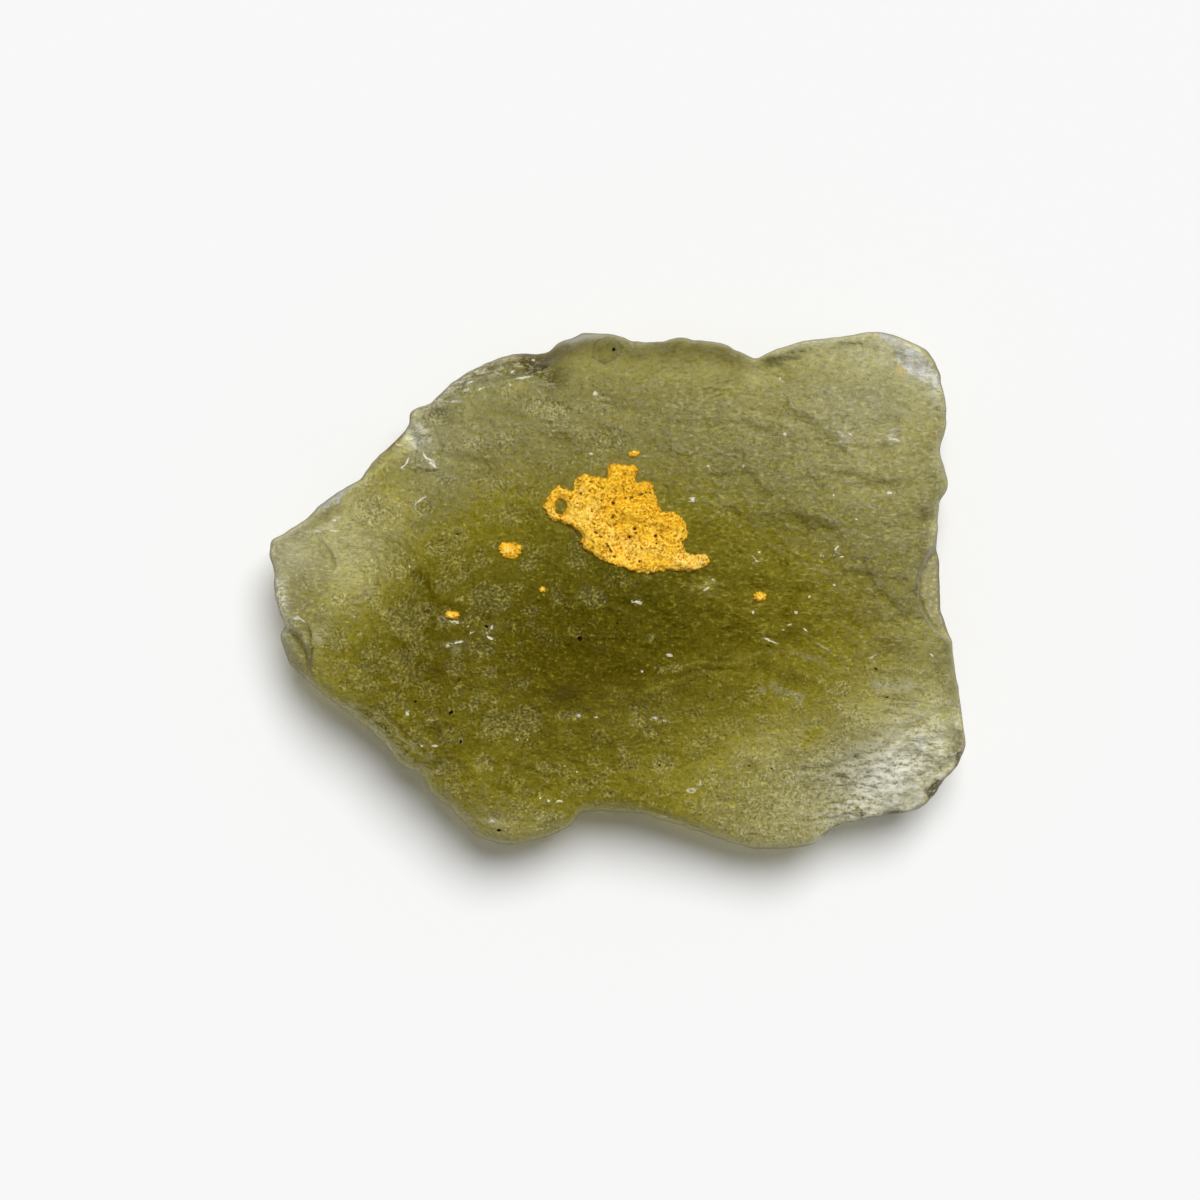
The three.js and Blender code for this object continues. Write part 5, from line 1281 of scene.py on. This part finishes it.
def fleck_mesh(place, seed):
    """A fleck is a flattened ball: latitude and longitude, with its radius roughened by noise."""
    centre_x, centre_y, a, b, turn, height = place
    rounds, levels = FLECK_GRID
    longitude, latitude = np.meshgrid(
        2 * np.pi * np.arange(rounds) / rounds, np.pi * (np.arange(levels) / (levels - 1) - 0.5)
    )
    rough = 1
    for layer, (around, upwards, lump) in enumerate(FLECK_LUMPS):
        u = around * np.cos(longitude) + 9
        v = around * np.sin(longitude) + upwards * latitude
        rough = rough + lump * noise(u, v, seed + layer)
    across = a * rough * np.cos(latitude) * np.cos(longitude)
    along = b * rough * np.cos(latitude) * np.sin(longitude)
    angle = np.radians(turn)
    x = centre_x + across * np.cos(angle) - along * np.sin(angle)
    y = centre_y + across * np.sin(angle) + along * np.cos(angle)
    up = np.sin(latitude)
    ground = skin_height(x, y)
    z = ground + np.where(up > 0, height, 2 * CRUST_ROOT) * up * (0.9 + 0.2 * (rough - 1))
    grid = np.arange(1, 1 + rounds * (levels - 2)).reshape(levels - 2, rounds)
    ring = np.concatenate([grid, grid[:, :1]], axis=1)
    body = np.stack([x, y, z], axis=-1)
    co = np.concatenate([body[:1, 0], body[1:-1].reshape(-1, 3), body[-1:, 0]])
    last = len(co) - 1
    sides = split_cells(ring, np.ones((levels - 3, rounds), bool))
    foot = np.stack([ring[0, 1:], ring[0, :-1], np.zeros(rounds, int)], axis=-1)
    crown = np.stack([ring[-1, :-1], ring[-1, 1:], np.full(rounds, last)], axis=-1)
    from_middle = np.hypot((co[:, 0] - centre_x) / a, (co[:, 1] - centre_y) / b)
    rich = smoothstep(*FLECK_RICH_RIM, from_middle) * 1.6 - 0.8
    skin = {"pore_shade": 0 * from_middle, "rich": rich}
    return co * MM, np.concatenate([sides, foot, crown]), skin


def mesh_object(name, co, faces, attributes):
    """A smooth-shaded object from vertices in metres, triangles and numbers for the vertices."""
    mesh = bpy.data.meshes.new(name)
    mesh.vertices.add(len(co))
    mesh.vertices.foreach_set("co", np.ascontiguousarray(co, np.float32).ravel())
    mesh.loops.add(faces.size)
    mesh.loops.foreach_set("vertex_index", np.ascontiguousarray(faces, np.int32).ravel())
    mesh.polygons.add(len(faces))
    mesh.polygons.foreach_set("loop_start", np.arange(len(faces), dtype=np.int32) * 3)
    mesh.polygons.foreach_set("use_smooth", np.ones(len(faces), bool))
    mesh.update(calc_edges=True)
    mesh.validate()
    for key, values in attributes.items():
        kind, field = ("FLOAT", "value") if values.ndim == 1 else ("FLOAT_VECTOR", "vector")
        attribute = mesh.attributes.new(key, kind, "POINT")
        attribute.data.foreach_set(field, np.ascontiguousarray(values, np.float32).ravel())
    piece = bpy.data.objects.new(name, mesh)
    bpy.context.scene.collection.objects.link(piece)
    return piece


class Nodes:
    """A short way to write a material's nodes."""

    def __init__(self, material):
        material.use_nodes = True
        self.tree = material.node_tree
        self.tree.nodes.clear()

    def add(self, kind, inputs=None, **settings):
        """A node with its settings, and with a value or a link in each socket named."""
        node = self.tree.nodes.new(kind)
        for key, value in settings.items():
            setattr(node, key, value)
        for key, value in (inputs or {}).items():
            self.put(node.inputs[key], value)
        return node

    def put(self, socket, value):
        if isinstance(value, bpy.types.NodeSocket):
            self.tree.links.new(value, socket)
        else:
            socket.default_value = value

    def number(self, name):
        """A number kept for each vertex."""
        return self.add("ShaderNodeAttribute", attribute_name=name).outputs["Fac"]

    def mark(self, name, jitter):
        """1 on the marks whose places are kept for each vertex, with a slightly ragged edge."""
        place = self.add("ShaderNodeAttribute", attribute_name=name).outputs["Vector"]
        length = self.vector("LENGTH", {0: place}).outputs["Value"]
        return self.span(self.plus(length, jitter), 1.15, 0.75, 0, 1)

    def noise(self, where, scale, detail, roughness=0.5):
        settings = {"Vector": where, "Scale": scale, "Detail": detail, "Roughness": roughness}
        return self.add("ShaderNodeTexNoise", settings).outputs[0]

    def vector(self, operation, inputs):
        return self.add("ShaderNodeVectorMath", inputs, operation=operation)

    def math(self, operation, first, second=0.0):
        return self.add("ShaderNodeMath", {0: first, 1: second}, operation=operation).outputs[0]

    def times(self, first, second):
        return self.math("MULTIPLY", first, second)

    def plus(self, first, second):
        return self.math("ADD", first, second)

    def minus(self, first, second):
        return self.math("SUBTRACT", first, second)

    def most(self, first, *others):
        """The largest of some numbers."""
        for other in others:
            first = self.math("MAXIMUM", first, other)
        return first

    def blend(self, share, first, second):
        """The first number at share 0 and the second at share 1."""
        return self.plus(first, self.times(share, self.minus(second, first)))

    def line_at(self, value, level):
        """Thin lines along which a value comes to a level."""
        return self.span(self.math("ABSOLUTE", self.minus(value, level)), 0.07, 0.02, 0, 1)

    def distance(self, where, place):
        return self.vector("DISTANCE", {0: where, 1: place}).outputs["Value"]

    def dimmed(self, colour, share):
        return self.vector("SCALE", {0: colour, "Scale": share}).outputs[0]

    def turned(self, where, angle, stretch):
        """Places turned and squeezed, so that a pattern runs along the angle."""
        settings = {"Vector": where, "Rotation": (0, 0, -angle), "Scale": stretch}
        return self.add("ShaderNodeMapping", settings).outputs[0]

    def span(self, value, low, high, to_low, to_high):
        """A smooth change from one value to another."""
        ends = {"From Min": low, "From Max": high, "To Min": to_low, "To Max": to_high}
        return self.add("ShaderNodeMapRange", {"Value": value, **ends}).outputs[0]

    def ramp(self, node, stops):
        """Colours and their places along a colour ramp."""
        elements = node.color_ramp.elements
        while len(elements) < len(stops):
            elements.new(1)
        for element, (place, colour) in zip(elements, stops):
            element.position = place
            element.color = (*colour[:3], 1)

    def mix(self, share, first, second):
        node = self.add("ShaderNodeMix", data_type="RGBA")
        self.put(node.inputs["Factor"], share)
        self.put(node.inputs[6], first)
        self.put(node.inputs[7], second)
        return node.outputs[2]


def skin_patterns(n):
    """The numbers kept for the skin of the glass, and the random patterns it is made of."""
    where = n.add("ShaderNodeTexCoord").outputs["Object"]
    grain = n.number("grain")
    smooth = n.span(grain, 0.2, 0.5, 1, 0)
    mottle = n.noise(where, 2300, 3, 0.55)
    brushed = n.noise(n.turned(where, -0.3, (0.6, 1, 1)), 5600, 2, 0.7)
    flow = n.noise(n.turned(where, -0.2, (0.35, 1, 1)), 420, 1)
    return SimpleNamespace(
        where=where,
        grain=grain,
        smooth=smooth,
        mottle=mottle,
        hollow=n.number("hollow"),
        crushed=n.number("crushed"),
        edge=n.number("rim"),
        bowl=n.span(grain, 0.35, 0.9, 0, 1),
        fine=n.blend(smooth, n.noise(where, 6200, 2, 0.7), brushed),
        curl=n.noise(where, 3400, 2, 0.6),
        streaks=n.noise(n.turned(where, 0.5, (0.35, 1, 1)), 4300, 3, 0.75),
        terraces=n.math("FRACT", n.times(flow, 9)),
        broken=n.times(smooth, n.span(mottle, 0.42, 0.55, 0, 1)),
    )


def plain_skin(n, skin, pale, props):
    """The colour without marks: from deep olive to nearly white, with a painted yellow glow in
    places.
    """
    tone = n.add("ShaderNodeValToRGB", {"Fac": pale})
    stops = ((0, props.deep_colour), (0.37, props.middle_colour), (0.68, props.pale_colour))
    n.ramp(tone, (*stops, (1, PALEST)))
    lit = n.mix(n.times(n.number("glow"), 0.6), tone.outputs[0], PAINTED_GLOW)
    return n.mix(n.times(skin.bowl, 0.35), lit, BOWL_FLOOR)


def skin_with_painted_shade(n, skin, colour):
    """Darker in hollows, in grooves and under the edges of thin terraces, which is painted shade,
    and darker between grains.
    """
    hollows = n.times(n.span(skin.hollow, 0.1, 1, 0, 0.28), n.span(skin.smooth, 0, 1, 1, 0.35))
    grains = n.times(n.span(skin.fine, 0.48, 0.36, 0, 1), n.span(skin.grain, 0.1, 0.5, 0.26, 0.45))
    grooves = n.times(n.line_at(skin.curl, 0.61), n.span(skin.fine, 0.35, 0.5, 0, 1))
    grains = n.most(grains, n.times(grooves, n.span(skin.grain, 0.1, 0.6, 0.05, 0.18)))
    edges = n.times(n.span(skin.terraces, 0.16, 0.02, 0, 0.16), skin.broken)
    shade = n.plus(n.plus(hollows, grains), edges)
    return n.dimmed(colour, n.minus(1, n.math("MINIMUM", shade, 0.8)))


def filmed_skin(n, skin, colour):
    """The thin films, beige or bluish: the share that they cover, and the colour with them."""
    film = n.number("film")
    share = n.times(n.math("ABSOLUTE", film), n.span(skin.mottle, 0.4, 0.56, 0.55, 1))
    tint = n.mix(n.span(film, -0.3, 0.3, 0, 1), BEIGE_FILM, BLUISH_FILM)
    return share, n.mix(share, colour, tint)


def brown_and_shaded_edges(n, skin, colour):
    """Dark brown along the edge and the chips, and in the cracks of crushed places; along the edge
    and beside some ledges it is painted shade.
    """
    rim = n.times(skin.edge, n.blend(skin.crushed, 0.75, n.span(skin.mottle, 0.42, 0.6, 1.3, 0.6)))
    cracks = n.times(skin.crushed, n.span(skin.streaks, 0.46, 0.4, 0, 0.42))
    return n.mix(n.most(rim, cracks), colour, EDGE_BROWN_AND_SHADE)


def hair_lines(n, skin):
    """The shares of the dark and of the light hair lines."""
    jitter = n.span(skin.fine, 0.3, 0.7, -0.05, 0.05)
    away = n.math("ABSOLUTE", n.plus(n.number("line"), jitter))
    hair, tone = n.span(away, 0.08, 0.025, 0, 1), n.number("line_tone")
    return n.times(hair, n.most(n.times(tone, -1), 0)), n.times(hair, n.most(tone, 0))


def specks_and_highlights(n, skin):
    """Light specks on the grains, and painted highlights along curling threads and on the upper
    edges of thin terraces.
    """
    specks = n.span(n.plus(skin.fine, n.times(skin.grain, 0.05)), 0.575, 0.655, 0, 1)
    specks = n.times(specks, n.span(skin.grain, 0.1, 0.6, 0.6, 0.82))
    threads = n.times(n.line_at(skin.curl, 0.5), n.span(skin.fine, 0.45, 0.58, 0, 1))
    threads = n.times(threads, n.span(skin.grain, 0.1, 0.7, 0.1, 0.4))
    terraces = n.times(n.span(skin.terraces, 0.88, 0.97, 0, 0.3), skin.broken)
    return n.times(n.most(specks, threads, terraces), n.span(skin.edge, 0.15, 0.8, 1, 0.35))


def white_splinters(n, skin):
    """White streaks in crushed places, and crumbs along their edges."""
    sheltered = n.plus(skin.streaks, n.times(skin.edge, -0.05))
    splinters = n.times(skin.crushed, n.span(sheltered, 0.47, 0.55, 0, 0.9))
    crumbs = n.times(n.times(skin.edge, skin.crushed), n.span(skin.fine, 0.56, 0.63, 0, 1))
    return n.most(splinters, crumbs)


def crushed_ribs(n, skin):
    """Fine white ribs round one centre, within the crushed spot at the upper left."""
    flat = n.vector("MULTIPLY", {0: skin.where, 1: (1, 1, 0)}).outputs[0]
    spot = n.span(skin.mottle, 0.4, 0.6, -0.0002, 0.0002)
    spot = n.span(n.plus(n.distance(flat, CRUSHED_SPOT), spot), *CRUSHED_REACH, 0, 0.95)
    shell = n.span(skin.mottle, 0.3, 0.7, -0.00012, 0.00012)
    shell = n.plus(n.distance(flat, RIB_CENTRE), shell)
    ribs = n.math("PINGPONG", shell, RIB_WIDTH)
    return n.times(n.span(ribs, 0.35 * RIB_WIDTH, 0.65 * RIB_WIDTH, 0, 1), spot)


def glass_material(props):
    """Etched glass: absorption in its depth, and a skin that is frosted, grainy and marked, with
    painted shade, highlights and glow in its colour.
    """
    material = bpy.data.materials.new("etched_tektite_glass")
    n = Nodes(material)
    skin = skin_patterns(n)
    height = n.plus(n.times(skin.mottle, 0.8), n.times(skin.fine, 0.5))
    bump = n.add("ShaderNodeBump", {"Height": height, "Strength": 1, "Distance": GLASS_RELIEF})

    pale = n.plus(n.number("pale"), n.span(skin.mottle, 0.3, 0.7, -0.07, 0.07))
    # painted shade in the hollows and painted highlight on the ridges
    pale = n.plus(pale, n.span(skin.hollow, -0.8, 0.8, 0.07, -0.07))
    colour = skin_with_painted_shade(n, skin, plain_skin(n, skin, pale, props))
    filmed, colour = filmed_skin(n, skin, colour)
    colour = brown_and_shaded_edges(n, skin, colour)

    dark_hair, light_hair = hair_lines(n, skin)
    splinters = white_splinters(n, skin)
    specks = n.most(specks_and_highlights(n, skin), splinters)
    splinters = n.most(splinters, crushed_ribs(n, skin))
    ragged = n.span(skin.fine, 0.35, 0.65, -1.2, 1.2)
    # the glints are painted highlights
    glint, stain = n.mark("glint", ragged), n.mark("stain", ragged)
    pit = n.mark("pit", n.times(ragged, 0.12))
    shine = n.most(light_hair, n.times(glint, n.span(skin.fine, 0.36, 0.5, 0.6, 1)))

    # dark hair lines, and the painted shade at the foot of each ledge
    colour = n.mix(dark_hair, colour, DARK_HAIR_AND_LEDGE_SHADE)
    # specks, and painted highlights along threads and terrace edges
    speck_colour = n.mix(n.span(pale, 0.1, 0.6, 0, 1), YELLOW_SPECK, PALE_SPECK)
    colour = n.mix(n.times(specks, 0.6), colour, speck_colour)
    # white splinters, and the painted highlights of the glints
    colour = n.mix(n.most(splinters, n.times(shine, 0.9)), colour, SPLINTER_AND_GLINT)
    colour = n.mix(n.times(stain, 0.8), colour, STAIN)
    colour = n.mix(pit, colour, PIT)

    frosted = n.plus(n.number("frost"), n.times(skin.bowl, 0.06))
    frosted = n.plus(frosted, n.times(specks, 0.25))
    frosted = n.most(frosted, n.most(filmed, n.times(shine, 0.85)))
    frosted = n.most(frosted, n.times(n.most(pit, stain), 0.95))
    rough = n.span(frosted, 0.1, 0.5, props.roughness, props.roughness + 0.2)
    surface = {"Base Color": colour, "Roughness": rough, "Transmission Weight": n.minus(1, frosted)}
    surface |= {"IOR": GLASS_IOR, "Specular Tint": REFLECTION, "Normal": bump.outputs[0]}
    depth = {"Color": (*props.clear_colour, 1), "Density": props.density}
    out = n.add("ShaderNodeOutputMaterial")
    n.put(out.inputs["Surface"], n.add("ShaderNodeBsdfPrincipled", surface).outputs[0])
    n.put(out.inputs["Volume"], n.add("ShaderNodeVolumeAbsorption", depth).outputs[0])
    return material


def clay_material(props):
    """Dry ochre clay: grains of several yellows, rusty specks, dark gaps, painted shade in the
    pores and cracks, and no gloss.
    """
    material = bpy.data.materials.new("dry_ochre_clay")
    n = Nodes(material)
    where = n.add("ShaderNodeTexCoord").outputs["Object"]
    broad, fine = n.noise(where, 900, 3), n.noise(where, 6000, 3, 0.6)
    curl = n.noise(where, 4800, 2, 0.6)
    grains = n.add("ShaderNodeTexVoronoi", {"Vector": where, "Scale": 8000})
    kind = n.add("ShaderNodeSeparateColor", {"Color": grains.outputs["Color"]}).outputs[0]
    rich = n.plus(n.number("rich"), n.span(broad, 0.3, 0.7, -0.55, 0.65))
    tone = n.add("ShaderNodeValToRGB", {"Fac": n.span(rich, -1, 1, 0, 1)})
    n.ramp(tone, ((0, CREAMY), (0.5, props.colour), (1, props.deep_colour)))
    light = n.times(n.line_at(curl, 0.48), n.span(fine, 0.42, 0.55, 0, 0.8))
    light = n.most(light, n.span(kind, 0.72, 0.95, 0, 0.85))
    colour = n.mix(light, tone.outputs[0], (*props.grain_colour, 1))
    creamy = n.times(n.span(fine, 0.53, 0.62, 0, 1), n.span(rich, -0.9, 0.5, 0.65, 0))
    colour = n.mix(creamy, colour, CREAM_GRAIN)
    dark = n.times(n.line_at(curl, 0.6), n.span(fine, 0.45, 0.65, 1, 0.2))
    dark = n.most(dark, n.span(fine, 0.49, 0.41, 0, 1))
    dark = n.times(dark, n.span(n.noise(where, 1500, 2), 0.4, 0.6, 1, 0.3))
    colour = n.mix(dark, colour, RUST)
    pores = n.plus(n.number("pore_shade"), n.span(fine, 0.3, 0.7, 0.4, -0.4))
    # dark gaps between the grains, and painted shade in the pores and cracks
    gaps = n.most(n.span(fine, 0.35, 0.31, 0, 0.9), n.span(pores, 0.4, 0.65, 0, 0.9))
    colour = n.mix(gaps, colour, GAP_AND_PORE_SHADE)
    height = n.plus(fine, n.times(curl, -0.8))
    bump = n.add("ShaderNodeBump", {"Height": height, "Strength": 0.9, "Distance": CLAY_RELIEF})
    surface = {"Base Color": colour, "Roughness": n.span(broad, 0.3, 0.7, 0.85, 1)}
    surface |= {"IOR": CLAY_IOR, "Specular IOR Level": 0.25, "Normal": bump.outputs[0]}
    shader = n.add("ShaderNodeBsdfPrincipled", surface)
    n.put(n.add("ShaderNodeOutputMaterial").inputs["Surface"], shader.outputs[0])
    return material


class MOLDAVITE_OT_glass(bpy.types.Operator):
    """Build the etched glass of the stone"""

    bl_idname = "moldavite.glass"
    bl_label = "Build Glass"

    def execute(self, context):
        props = context.scene.moldavite_glass
        piece = mesh_object("etched_glass", *stone_mesh(props.cells))
        piece.data.materials.append(glass_material(props))
        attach(piece, BODY)
        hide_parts(GLASS_NODE)
        return {"FINISHED"}


class MOLDAVITE_OT_clay(bpy.types.Operator):
    """Build the crust and the flecks of clay"""

    bl_idname = "moldavite.clay"
    bl_label = "Build Clay"

    def execute(self, context):
        props = context.scene.moldavite_clay
        clay = clay_material(props)
        crust = crust_mesh(props.thickness / MM)
        pieces = {CRUST_NODE: mesh_object("clay_crumbs", *crust)}
        for seed, (node, place) in enumerate(FLECKS.items()):
            name = node.replace("fleck", "spot")
            pieces[node] = mesh_object(name, *fleck_mesh(place, FLECK_SEED + 2 * seed))
        for node, piece in pieces.items():
            piece.data.materials.append(clay)
            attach(piece, BODY)
            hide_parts(node)
        return {"FINISHED"}


class MOLDAVITE_OT_studio(bpy.types.Operator):
    """Build the pale floor, the soft light and the camera"""

    bl_idname = "moldavite.studio"
    bl_label = "Build Studio"

    def execute(self, context):
        scene = context.scene
        props = scene.moldavite_studio
        scene.view_settings.view_transform = "Standard"
        bpy.ops.mesh.primitive_plane_add(size=props.floor_width)
        floor = context.object
        floor.name = "studio_floor"
        floor.data.transform(Matrix.Translation((0, 0, -FLOOR_GAP)))
        pale = bpy.data.materials.new("studio_white")
        n = Nodes(pale)
        matt = {"Base Color": FLOOR_COLOUR, "Roughness": 0.9}
        shader = n.add("ShaderNodeBsdfPrincipled", matt)
        n.put(n.add("ShaderNodeOutputMaterial").inputs["Surface"], shader.outputs[0])
        floor.data.materials.append(pale)
        world = bpy.data.worlds.new("studio_air")
        scene.world = world
        n = Nodes(world)
        even = {"Color": (1, 1, 1, 1), "Strength": props.air_strength}
        back = n.add("ShaderNodeBackground", even)
        n.put(n.add("ShaderNodeOutputWorld").inputs["Surface"], back.outputs[0])
        add_window(WINDOW_WAY, props)
        camera_data = bpy.data.cameras.new("camera")
        camera = bpy.data.objects.new("camera", camera_data)
        scene.collection.objects.link(camera)
        camera_data.lens = CAMERA_LENS
        camera_data.sensor_width = CAMERA_SENSOR
        camera.location = CAMERA_PLACE
        camera_data.clip_start = 0.01
        scene.camera = camera
        return {"FINISHED"}


def add_window(way, props):
    """A soft light from far away, so that it falls evenly on the floor."""
    light = bpy.data.lights.new("window_light", "SUN")
    light.angle = props.light_angle
    light.energy = props.light_strength
    lamp = bpy.data.objects.new("window_light", light)
    lamp.location = way
    lamp.rotation_euler = (-way).to_track_quat("-Z", "Y").to_euler()
    bpy.context.scene.collection.objects.link(lamp)


class MOLDAVITE_PT_panel(bpy.types.Panel):
    """Lists the settings and the builders"""

    bl_label = "Moldavite"
    bl_idname = "MOLDAVITE_PT_panel"
    bl_space_type = "VIEW_3D"
    bl_region_type = "UI"
    bl_category = "Moldavite"

    def draw(self, context):
        for group in GROUPS:
            props = getattr(context.scene, group)
            for name in GROUPS[group].__annotations__:
                self.layout.prop(props, name)
        for operator in OPERATORS:
            self.layout.operator(operator.bl_idname)


OPERATORS = (MOLDAVITE_OT_glass, MOLDAVITE_OT_clay, MOLDAVITE_OT_studio)
GROUPS = {
    "moldavite_glass": MoldaviteGlass,
    "moldavite_clay": MoldaviteClay,
    "moldavite_studio": MoldaviteStudio,
}
CLASSES = (*GROUPS.values(), *OPERATORS, MOLDAVITE_PT_panel)


def register():
    """Add the classes, and their settings to the scene."""
    for each in CLASSES:
        bpy.utils.register_class(each)
    for name, group in GROUPS.items():
        setattr(bpy.types.Scene, name, PointerProperty(type=group))


def unregister():
    """Take the settings and the classes away again."""
    for name in GROUPS:
        delattr(bpy.types.Scene, name)
    for each in reversed(CLASSES):
        bpy.utils.unregister_class(each)


def main():
    """Build every piece."""
    register()
    bpy.ops.moldavite.glass()
    bpy.ops.moldavite.clay()
    bpy.ops.moldavite.studio()


if __name__ == "__main__":
    main()
